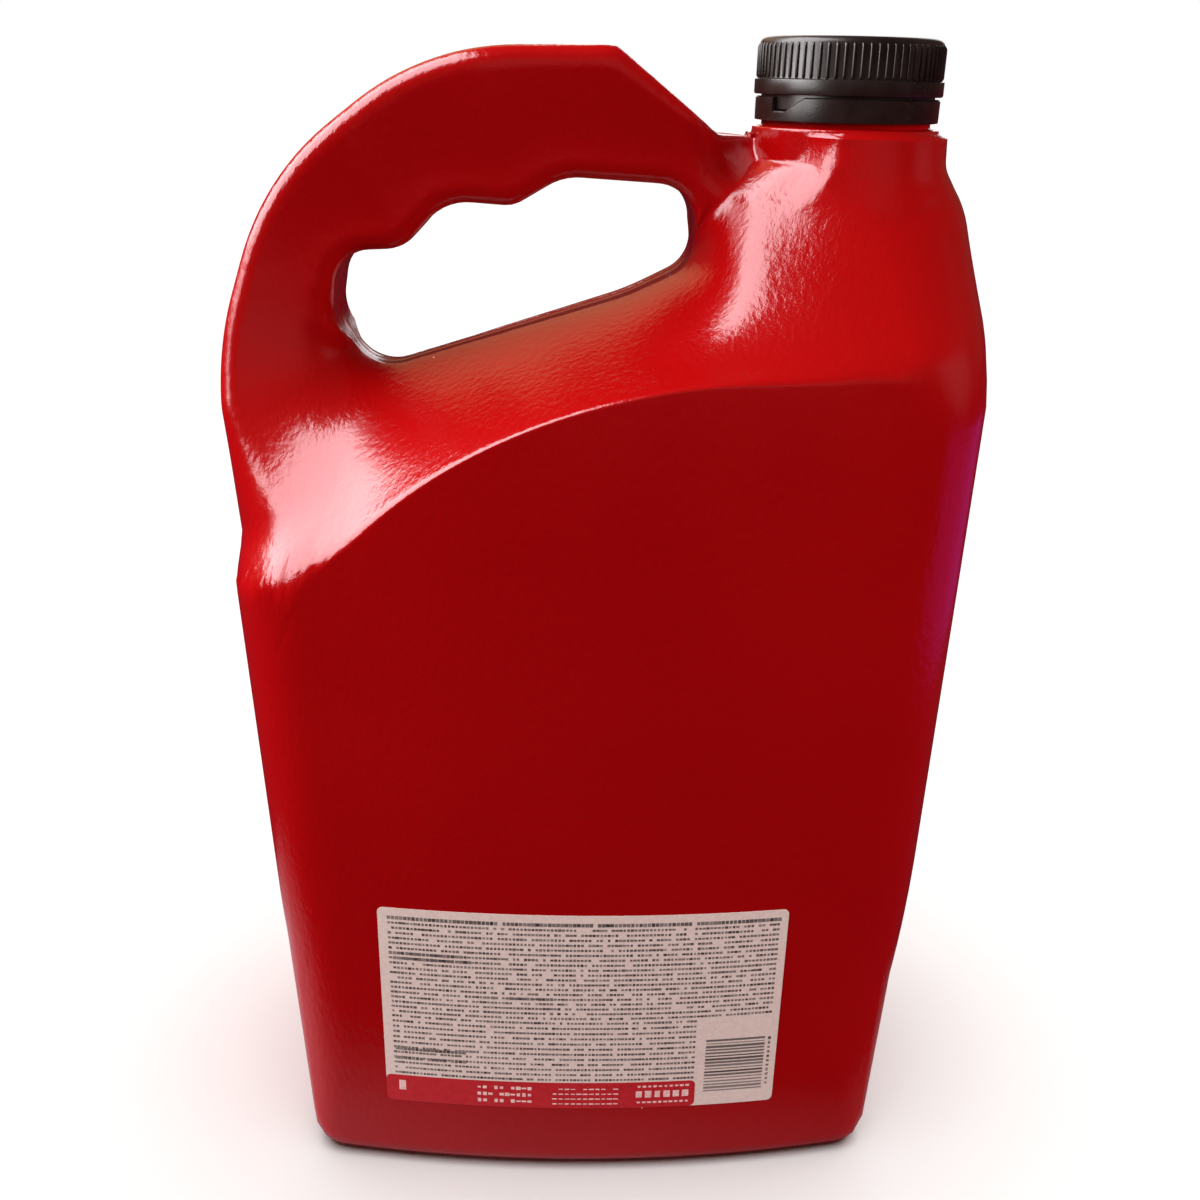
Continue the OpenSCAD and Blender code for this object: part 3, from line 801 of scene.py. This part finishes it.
def thread_ridge(angle, z):
    """Height of the thread over the finish at an angle and a height."""
    lift = (z - thread_start) / pitch
    ridge = np.zeros_like(angle)
    for whole in range(-1, 4):
        turned = angle / (2 * math.pi) + whole
        off = (lift - turned) * pitch
        fade = smooth_step(turned * 8) * smooth_step((thread_turns - turned) * 8)
        ridge = np.maximum(ridge, fade * np.clip((1.25 - np.abs(off)) / 0.6, 0, 1))
    return ridge * (crest_r - finish_r - 0.05)


# %% The finish on the mouth of the skin


def skin_id(layer, ray, place):
    """Number of a wall point: layer 0 outside, 1 inside."""
    return (layer * rays + ray % rays) * ring_length + place % ring_length


def mirror_place(place):
    """The place on the back that faces a place on the front."""
    return 2 * row_count - 1 + len(side_wall) - place


edge_place = row_count - 1
mouth = [(s, edge_place) for s in range(first_rim, last_rim + 1)]
mouth += [(last_rim, row_count + k) for k in range(len(side_wall))]
mouth += [(s, mirror_place(edge_place)) for s in range(last_rim, first_rim - 1, -1)]
mouth += [(first_rim, row_count + k) for k in range(len(side_wall) - 1, -1, -1)]
mouth_points = np.array([skin[s, place] for s, place in mouth])
angles = np.arctan2(mouth_points[:, 1], mouth_points[:, 0] - neck_x)
finish_points = []
for radius, z in finish_rows:
    threaded = radius == finish_r and z < finish_z - 0.7
    r = radius + (thread_ridge(np.mod(angles, 2 * math.pi), z) if threaded else 0)
    finish_points.append(np.stack([
        neck_x + r * np.cos(angles), r * np.sin(angles), np.full(len(angles), z),
    ], axis=1))
print("finish", len(finish_rows), "rows of", len(mouth), "points")

# %% [markdown]
# The faces follow the grid. Side walls are left out over the neck, where the finish stands.

# %% The whole bottle
faces = []
side_places = range(edge_place, edge_place + len(side_wall) + 1)
for s in range(rays):
    over_neck = first_rim <= s < last_rim
    for t in range(ring_length):
        if over_neck and t in side_places:
            continue
        quad = ((s, t), (s + 1, t), (s + 1, t + 1), (s, t + 1))
        faces.append(tuple(skin_id(0, ray, place) for ray, place in quad))
        faces.append(tuple(skin_id(1, ray, place) for ray, place in quad[::-1]))
base_id = 2 * rays * ring_length
count = len(mouth)
rings = [[skin_id(0, s, t) for s, t in mouth]]
rings += [[base_id + row * count + i for i in range(count)] for row in range(len(finish_rows))]
rings += [[skin_id(1, s, t) for s, t in mouth]]
for low_ring, high_ring in zip(rings[:-1], rings[1:]):
    for i in range(count):
        k = (i + 1) % count
        faces.append((low_ring[i], low_ring[k], high_ring[k], high_ring[i]))
points = np.concatenate([skin.reshape(-1, 3), lining.reshape(-1, 3)] + finish_points)
jug = add_mesh("jug_bottle", points, faces, red)


def tidy_mesh(made, sharp_angle=None, merge=0.00001):
    """Merges doubles, drops loose points, turns faces outwards and marks sharp edges."""
    work = bmesh.new()
    work.from_mesh(made.data)
    if merge:
        bmesh.ops.remove_doubles(work, verts=work.verts, dist=merge)
        bmesh.ops.dissolve_degenerate(work, edges=work.edges, dist=merge / 10)
    bare = [e for e in work.edges if not e.link_faces]
    bmesh.ops.delete(work, geom=bare, context="EDGES")
    loose = [v for v in work.verts if not v.link_faces]
    bmesh.ops.delete(work, geom=loose, context="VERTS")
    bmesh.ops.recalc_face_normals(work, faces=work.faces)
    open_edges = sum(1 for e in work.edges if len(e.link_faces) != 2)
    volume = work.calc_volume(signed=True)
    if volume < 0:
        bmesh.ops.reverse_faces(work, faces=work.faces)
    work.to_mesh(made.data)
    work.free()
    if sharp_angle:
        made.data.set_sharp_from_angle(angle=math.radians(sharp_angle))
    faces_made = len(made.data.polygons)
    print(f"{made.name}: {faces_made} faces, {open_edges} open edges, {abs(volume) * 1e6:.2f} cm3")


tidy_mesh(jug, merge=0)

# %% [markdown]
# Turned pieces share one helper: a closed section spun about the neck's axis. The section may
# change with the angle, which is how the tamper band gets its window.

# %% Lathe


def lathe(name, section_at, angles_deg, material, sharp_angle=30):
    """Spins a closed section, a list of (radius, z), about the neck's axis."""
    rings_made = []
    for degrees in angles_deg:
        a = math.radians(degrees)
        rings_made.append([
            (neck_x + r * math.cos(a), r * math.sin(a), z) for r, z in section_at(degrees)
        ])
    n = len(rings_made[0])
    total = len(rings_made)
    spun = [p for one in rings_made for p in one]
    quads = []
    for i in range(total):
        j = (i + 1) % total
        for k in range(n):
            m = (k + 1) % n
            quads.append((i * n + k, j * n + k, j * n + m, i * n + m))
    made = add_mesh(name, spun, quads, material)
    tidy_mesh(made, sharp_angle)
    return made


# %% [markdown]
# The cap is a shell: a top with a rounded edge, a wall for the grip ribs, a plain ring, and a
# skirt that reaches down inside the tamper band.

# %% Cap shell
cap_top = cap_high[2]
cap_r = (cap_high[0] - cap_low[0]) / 2
skirt_low = cap_low[2]
cap_foot = band_high[2] + 0.5
ring_top = cap_foot + 3.5
rib_root = 21.85
edge_r = 1.8
cap_in = 19.3
skirt_in = 19.9
skirt_out = 20.8
top_t = 1.2

edge_arc = [
    (rib_root - edge_r + edge_r * math.cos(a), cap_top - edge_r + edge_r * math.sin(a))
    for a in np.radians(np.arange(0, 91, 11.25))
]
dish_r = 15.6
cap_section = [
    (0, cap_top - 0.25), (dish_r, cap_top - 0.25), (dish_r + 0.4, cap_top - 0.18),
    (dish_r + 0.8, cap_top - 0.02), (dish_r + 1.2, cap_top),
]
cap_section += edge_arc[::-1]
cap_section += [
    (rib_root, ring_top + 0.35), (rib_root + 0.1, ring_top + 0.1), (rib_root + 0.35, ring_top),
    (cap_r - 0.2, ring_top - 0.05), (cap_r - 0.05, ring_top - 0.15), (cap_r, ring_top - 0.35),
    (cap_r, cap_foot + 0.4), (cap_r - 0.12, cap_foot + 0.12), (cap_r - 0.4, cap_foot),
    (skirt_out, cap_foot), (skirt_out, skirt_low + 0.25), (skirt_out - 0.25, skirt_low),
    (skirt_in + 0.25, skirt_low), (skirt_in, skirt_low + 0.25), (skirt_in, cap_foot),
    (cap_in, cap_foot + 0.6), (cap_in, cap_top - top_t - 0.3), (cap_in - 0.3, cap_top - top_t),
    (0, cap_top - top_t),
]
cap_shell = lathe("cap_shell", lambda degrees: cap_section, np.arange(0, 360, 2), black, 32)

# %% [markdown]
# The grip ribs are one rib repeated round the cap, which is work for Geometry Nodes. The
# object's own mesh is a single rib that looks along +X. The tree puts it on every point of a
# circle, turns it outwards, makes the copies real and sets their finish.

# %% A helper for node trees of geometry


def new_tree(name, inputs):
    """A geometry tree with a geometry input and more inputs, and what they give."""
    tree = bpy.data.node_groups.new(name, "GeometryNodeTree")
    for label, kind in [("Geometry", "Geometry")] + inputs:
        tree.interface.new_socket(label, in_out="INPUT", socket_type="NodeSocket" + kind)
    tree.interface.new_socket("Geometry", in_out="OUTPUT", socket_type="NodeSocketGeometry")
    return tree, tree.nodes.new("NodeGroupInput").outputs


def close_tree(tree, geometry, finish):
    """Sets the material and hands the geometry out."""
    paint = add_node(tree, "GeometryNodeSetMaterial", {"Geometry": geometry, "Material": finish})
    add_node(tree, "NodeGroupOutput", {0: paint.outputs[0]})
    print("tree", tree.name, "with", len(tree.nodes), "nodes")


def grow(seed_object, tree, values):
    """Runs a tree on an object and keeps the result as its plain mesh."""
    modifier = seed_object.modifiers.new(tree.name, "NODES")
    modifier.node_group = tree
    for item in tree.interface.items_tree:
        if item.in_out == "INPUT" and item.name in values:
            modifier[item.identifier] = values[item.name]
    seed_object.update_tag()
    bpy.context.view_layer.update()
    graph = bpy.context.evaluated_depsgraph_get()
    result = bpy.data.meshes.new_from_object(seed_object.evaluated_get(graph))
    seed_object.modifiers.remove(modifier)
    seed_object.data = result
    return seed_object


# %% Grip ribs
rib_count = 72
rib_h = 0.5
rib_low = ring_top + 0.05
rib_high = cap_top - edge_r + 0.35
rib_w = 2 * math.pi * rib_root / rib_count * 0.4

ribs_tree, given = new_tree("grip_ribs", [("Count", "Int"), ("Radius", "Float"), ("Finish", "Material")])
circle = add_node(ribs_tree, "GeometryNodeMeshCircle", {
    "Vertices": given["Count"], "Radius": given["Radius"],
})
here = add_node(ribs_tree, "GeometryNodeInputPosition").outputs[0]
face_out = add_node(ribs_tree, "FunctionNodeAlignRotationToVector", {"Vector": here}, axis="X")
copies = add_node(ribs_tree, "GeometryNodeInstanceOnPoints", {
    "Points": circle.outputs["Mesh"], "Instance": given["Geometry"], "Rotation": face_out.outputs[0],
})
real = add_node(ribs_tree, "GeometryNodeRealizeInstances", {0: copies.outputs[0]})
close_tree(ribs_tree, real.outputs[0], given["Finish"])

# %% One rib, and all of them
rib_points, rib_faces = [], []
rib_l = rib_high - rib_low
stations = [(0, 0.15), (0.35, 0.8), (0.7, 1), (rib_l - 0.9, 1), (rib_l - 0.4, 0.7), (rib_l, 0.1)]
across = np.radians(np.arange(0, 181, 30))
for height, size in stations:
    for a in across:
        rib_points.append((size * rib_h * math.sin(a), -rib_w / 2 * math.cos(a), rib_low + height))
    rib_points.append((-0.2, 0, rib_low + height))
n = len(across) + 1
for i in range(len(stations) - 1):
    for k in range(n):
        m = (k + 1) % n
        rib_faces.append((i * n + k, i * n + m, (i + 1) * n + m, (i + 1) * n + k))
rib_faces.append(tuple(range(n))[::-1])
rib_faces.append(tuple((len(stations) - 1) * n + k for k in range(n)))
ribs = add_mesh("cap_ribs", rib_points, rib_faces, black)
tidy_mesh(ribs)
grow(ribs, ribs_tree, {"Count": rib_count, "Radius": (rib_root - 0.02) * MM, "Finish": black})
ribs.data.transform(Matrix.Translation((neck_x * MM, 0, 0)))
print("ribs", len(ribs.data.polygons), "faces")

# %% [markdown]
# The tamper band stays on the neck. Its top edge drops to a sill in one place, upright at one
# end and slanted at the other, and a fine chamfer runs along the edge and catches the light.

# %% Tamper band
band_top = band_high[2]
band_r = (band_high[0] - band_low[0]) / 2
band_in = 21.2
sill_z = band_top - 3.1
window_start = 270 - 63.5
window_sill = 270 - 52
window_end = 270 - 38
chamfer = 0.3


def band_edge(degrees):
    """Height of the band's top edge at an angle."""
    return float(np.interp(
        degrees, (0, window_start, window_start + 0.4, window_sill, window_end, 360),
        (band_top, band_top, sill_z, sill_z, band_top, band_top),
    ))


def band_section(degrees):
    """Section of the band at an angle."""
    edge = band_edge(degrees)
    return [
        (foot_r + 0.3, band_z), (band_r - 0.2, band_z), (band_r - 0.05, band_z + 0.08),
        (band_r, band_z + 0.25), (band_r, edge - chamfer), (band_r - chamfer, edge),
        (band_in + 0.1, edge), (band_in, edge - 0.1), (band_in, sill_z - 0.25),
        (bead_r + 0.5, band_z + 1.9), (foot_r + 0.3, band_z + 1.4),
    ]


window_angles = {window_start, window_start + 0.4, window_sill, window_end}
band_angles = sorted(set(np.arange(0, 360, 2)) | window_angles)
band = lathe("neck_band", band_section, band_angles, black, 30)

# %% [markdown]
# A label is a thin film pressed onto the bowed panel. The sheet below follows that bow, has
# rounded corners and its own thickness, and lies a hair above the plastic. A field of one ink
# is such a sheet again, far thinner, on top. The far label's bands and bars are plain ones.

# %% Label sheets
label_gap = 0.04
label_t = 0.12
label_corner = 1.6


def label_sheet(name, low, high, side, material, lift_off=label_gap, thickness=label_t):
    """A thin sheet on the panel, at -Y for side -1 and at +Y for side 1."""
    width = high[0] - low[0]
    ends = label_corner * (1 - np.cos(np.radians(np.arange(0, 91, 15))))
    middle = np.linspace(label_corner, width - label_corner, 49)[1:-1]
    xs = np.concatenate([ends, middle, width - ends[::-1]])
    inset_x = np.maximum(label_corner - np.minimum(xs, width - xs), 0)
    cut_z = label_corner - np.sqrt(np.maximum(label_corner ** 2 - inset_x ** 2, 0))
    layers = []
    half = 12
    for lift in (lift_off + thickness, lift_off):
        for t in np.linspace(0, 1, half):
            x = low[0] + xs
            z = low[2] + cut_z + (high[2] - low[2] - 2 * cut_z) * t
            layers.append(np.stack([x, side * (panel_depth(x) + lift), z], axis=1))
    n = len(xs)
    quads = []
    for layer in (0, 1):
        for j in range(half - 1):
            for i in range(n - 1):
                a = (layer * half + j) * n + i
                quads.append((a, a + 1, a + n + 1, a + n))
    back_start = half * n
    for i in range(n - 1):
        for j in (0, half - 1):
            a = j * n + i
            quads.append((a, a + 1, a + 1 + back_start, a + back_start))
    for j in range(half - 1):
        for i in (0, n - 1):
            a = j * n + i
            quads.append((a, a + n, a + n + back_start, a + back_start))
    made = add_mesh(name, np.concatenate(layers), quads, material)
    tidy_mesh(made, 40, merge=0.000002)
    return made


info = label_sheet("info_sheet", info_low, info_high, -1, film)
main = label_sheet("main_sheet", main_low, main_high, 1, film)

# %% Fields of ink
ink_t = 0.02
sheet_top = label_gap + label_t
label_left, label_right = info_low[0], info_high[0]
label_base, label_top = info_low[2], info_high[2]
strip_h = 9.2
strip_end = label_left + 86.2
main_mid = (main_low[0] + main_high[0]) / 2
main_half = (main_high[0] - main_low[0]) / 2
main_base, main_top = main_low[2], main_high[2]


def field(name, x0, x1, z0, z1, side, material, lift_off=sheet_top):
    """A field of one ink on a label."""
    return label_sheet(name, (x0, 0, z0), (x1, 0, z1), side, material, lift_off, ink_t)


fields = [
    field("info_strip", label_left, strip_end, label_base, label_base + strip_h, -1, strip_red),
    field("main_band", main_low[0], main_high[0], main_top - 0.36 * (main_top - main_base),
          main_top, 1, strip_red),
    field("main_foot", main_low[0], main_high[0], main_base, main_base + strip_h, 1, strip_red),
    field("main_title", main_mid - 0.72 * main_half, main_mid + 0.72 * main_half,
          main_top - 17, main_top - 7, 1, pale_ink, sheet_top + ink_t),
    field("main_subtitle", main_mid - 0.5 * main_half, main_mid + 0.5 * main_half,
          main_top - 26, main_top - 21, 1, pale_ink, sheet_top + ink_t),
]
print(len(fields), "fields of ink on the two labels")

# %% [markdown]
# The small print is only seen as lines of short grey dashes, so that is what it is here. One
# tree lays a grid of points over the label, drops some of them as gaps between words, puts a
# dash of random width on the rest, and bends the lot onto the panel.

# %% Print tree, from a grid to dashes
print_tree, given = new_tree("print_dashes", [
    ("Width", "Float"), ("Height", "Float"), ("Columns", "Int"), ("Lines", "Int"), ("Middle", "Vector"),
    ("Gaps", "Float"), ("Least", "Vector"), ("Most", "Vector"), ("Bow", "Float"), ("Depth", "Float"),
    ("Seed", "Int"), ("Finish", "Material"),
])
grid = add_node(print_tree, "GeometryNodeMeshGrid", {
    "Size X": given["Width"], "Size Y": given["Height"],
    "Vertices X": given["Columns"], "Vertices Y": given["Lines"],
})
stand_up = add_node(print_tree, "GeometryNodeTransform", {
    "Geometry": grid.outputs["Mesh"], "Rotation": (math.radians(90), 0, 0), "Translation": given["Middle"],
})
chance = add_node(print_tree, "FunctionNodeRandomValue", {
    "Probability": given["Gaps"], "Seed": given["Seed"],
}, data_type="BOOLEAN")
drop = add_node(print_tree, "GeometryNodeDeleteGeometry", {
    "Geometry": stand_up.outputs[0], "Selection": chance.outputs[3],
}, domain="POINT")
size = add_node(print_tree, "FunctionNodeRandomValue", {
    0: given["Least"], 1: given["Most"], "Seed": given["Seed"],
}, data_type="FLOAT_VECTOR")
dashes = add_node(print_tree, "GeometryNodeInstanceOnPoints", {
    "Points": drop.outputs[0], "Instance": given["Geometry"], "Scale": size.outputs[0],
})
grey = add_node(print_tree, "FunctionNodeRandomValue", data_type="FLOAT")
keep = add_node(print_tree, "GeometryNodeStoreNamedAttribute", {
    "Geometry": dashes.outputs[0], "Name": "shade", "Value": grey.outputs[1],
}, domain="INSTANCE")
real = add_node(print_tree, "GeometryNodeRealizeInstances", {0: keep.outputs[0]})

# %% Print tree, onto the bow
here = add_node(print_tree, "GeometryNodeInputPosition").outputs[0]
across = add_node(print_tree, "ShaderNodeSeparateXYZ", {0: here}).outputs["X"]
bowed = combined(print_tree, "MULTIPLY", combined(print_tree, "MULTIPLY", across, across), given["Bow"])
depth = combined(print_tree, "SUBTRACT", bowed, given["Depth"])
offset = add_node(print_tree, "ShaderNodeCombineXYZ", {"Y": depth})
bend = add_node(print_tree, "GeometryNodeSetPosition", {
    "Geometry": real.outputs[0], "Offset": offset.outputs[0],
})
close_tree(print_tree, bend.outputs[0], given["Finish"])

# %% A field of print
ink_depth = half_d + sheet_top


def unit_dash(name, steps):
    """A flat dash 1 m wide and high in a few steps, for the tree to scale, thin along Y."""
    t = ink_t / 2
    stations = np.linspace(-0.5, 0.5, steps + 1)
    around = ((-1, -1), (1, -1), (1, 1), (-1, 1))
    corners = [(x / MM, y * t, z / MM / 2) for x in stations for y, z in around]
    sides = [(0, 1, 2, 3), tuple(4 * steps + k for k in (3, 2, 1, 0))]
    for s in range(steps):
        for k in range(4):
            m = (k + 1) % 4
            sides.append((4 * s + k, 4 * s + 4 + k, 4 * s + 4 + m, 4 * s + m))
    made = add_mesh(name, corners, sides, ink, smooth=False)
    tidy_mesh(made, merge=0)
    return made


def print_field(name, left, right_end, bottom, top, columns, lines, gaps, least, most, seed,
                material=ink, layer=0, steps=1):
    """Fills a field of the label with rows of dashes, on that many layers of ink."""
    made = unit_dash(name, steps)
    grow(made, print_tree, {
        "Width": (right_end - left) * MM, "Height": (top - bottom) * MM,
        "Columns": columns, "Lines": lines,
        "Middle": ((left + right_end) / 2 * MM, 0, (bottom + top) / 2 * MM),
        "Gaps": gaps,
        "Least": (least[0] * MM, 1, least[1] * MM), "Most": (most[0] * MM, 1, most[1] * MM),
        "Bow": bow_k / MM, "Depth": (ink_depth + ink_t * (layer + 0.5)) * MM,
        "Seed": seed, "Finish": material,
    })
    print(name, len(made.data.polygons), "faces")
    return made


# %% All the print
line_pitch = 1.62
label_w = label_right - label_left
first_line = label_top - label_base - 3
strip_w = strip_end - label_left
small = ((0.55, 0.62), (0.98, 0.8))
bold = ((0.8, 0.9), (1.06, 1.05))
info_fields = [
    ("print_heading", 3, label_w - 2.4, first_line, first_line, 96, 1, 0.1, (0.8, 1.0), (1.08, 1.15), 3),
    ("print_upper", 3, label_w - 2.6, first_line - 19 * line_pitch, first_line - line_pitch,
     104, 19, 0.13, *small, 5),
    ("print_lower", 3, strip_w - 1, strip_h + 1, first_line - 20 * line_pitch, 84, 12, 0.13, *small, 7),
    ("print_bold_a", 3, 24, first_line - 8 * line_pitch, first_line - 7 * line_pitch,
     20, 2, 0.1, *bold, 11, ink, 1),
    ("print_bold_b", 3.6, 22, strip_h + 6.2, strip_h + 9.4, 18, 2, 0.1, *bold, 12, ink, 1),
    ("print_bold_c", 28, 47, first_line - 15 * line_pitch, first_line - 15 * line_pitch,
     19, 1, 0.15, (0.8, 0.85), (1.0, 0.95), 13, ink, 1),
    ("bars", 96.8, 96.8, 28.6 - label_base, 46.4 - label_base,
     1, 17, 0.0, (16.4, 0.32), (16.6, 0.86), 9, ink, 0, 8),
    ("bar_marks", 106.3, 106.3, 30 - label_base, 46 - label_base, 1, 11, 0.1, (0.5, 0.7), (0.9, 1.1), 10),
    ("strip_block", 4.5, 4.5, 5.6, 5.6, 1, 1, 0.0, (1.9, 3.4), (1.9, 3.4), 14, pale_ink, 1),
    ("strip_rows_a", 26, 40, 2.2, 6.9, 10, 3, 0.08, (0.9, 0.5), (1.35, 1.3), 15, pale_ink, 1),
    ("strip_rows_b", 47, 64, 1.6, 6.9, 11, 4, 0.1, (1.0, 0.25), (1.5, 0.5), 16, pale_ink, 1),
    ("strip_rows_c", 70.5, 83.5, 4.8, 4.8, 6, 1, 0.0, (1.5, 2.2), (1.9, 2.4), 17, pale_ink, 1),
    ("strip_rows_d", 70.5, 84, 1.9, 7.6, 10, 2, 0.1, (0.7, 0.5), (1.2, 0.7), 18, pale_ink, 1),
]
printed = []
for name, left, right_end, bottom, top, *rest in info_fields:
    place = (label_left + left, label_left + right_end, label_base + bottom, label_base + top)
    printed.append(print_field(name, *place, *rest))

main_foot_top = main_base + strip_h
half_turn = Matrix.Rotation(math.pi, 4, "Z")
for name, share, bottom, top, *rest in [
    ("main_rows", 0.8, 6, 20, 70, 8, 0.13, (0.8, 0.7), (1.4, 0.95), 21),
    ("main_heading", 0.7, 27, 27, 26, 1, 0.1, (1.9, 2.2), (2.9, 2.6), 22),
]:
    half_wide = share * main_half
    place = (-main_mid - half_wide, -main_mid + half_wide, main_foot_top + bottom, main_foot_top + top)
    printed.append(print_field(name, *place, *rest))
    printed[-1].data.transform(half_turn)
print(len(printed), "fields of print")

# %% [markdown]
# Each visible mesh moves with the body whose solid it stands for. The ribs and the print have
# no solid of their own, so they only ride.

# %% Tie the pieces to the frame
main_pieces = [
    (jug, "jug", "jug_body", "jug_red"),
    (band, "jug", "tamper_band", "cap_black"),
    (cap_shell, "cap", "cap", "cap_black"),
    (ribs, "cap", None, "cap_black"),
    (info, "jug", "info_label", "label_paper"),
    (main, "jug", "main_label", "label_paper"),
]
for piece, body, solid, slot in main_pieces:
    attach(piece, body)
    if solid:
        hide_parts(solid)
for piece in fields + printed:
    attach(piece, "jug")
print(len(main_pieces) + len(fields) + len(printed), "pieces ride on the frame")

# %% [markdown]
# The low sill of the window only shows on the closure's ribs and chamfers, as bright lines.
# So one more light is made, and linked to the closure alone.

# %% Light for the closure
closure = bpy.data.collections.new("closure_lit")
for piece in (cap_shell, ribs, band):
    closure.objects.link(piece)
sill = softbox("window_sill", (-1.0, -0.42, 0.36), (0, 0, 0.28), 0.75, 0.5, 7, (1, 0.97, 0.97))
sill.light_linking.receiver_collection = closure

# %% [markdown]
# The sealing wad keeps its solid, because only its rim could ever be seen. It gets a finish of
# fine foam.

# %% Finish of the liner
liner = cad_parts["cap_liner"]
liner.data.materials.clear()
liner.data.materials.append(wad)
print("liner in", liner.data.materials[0].name)
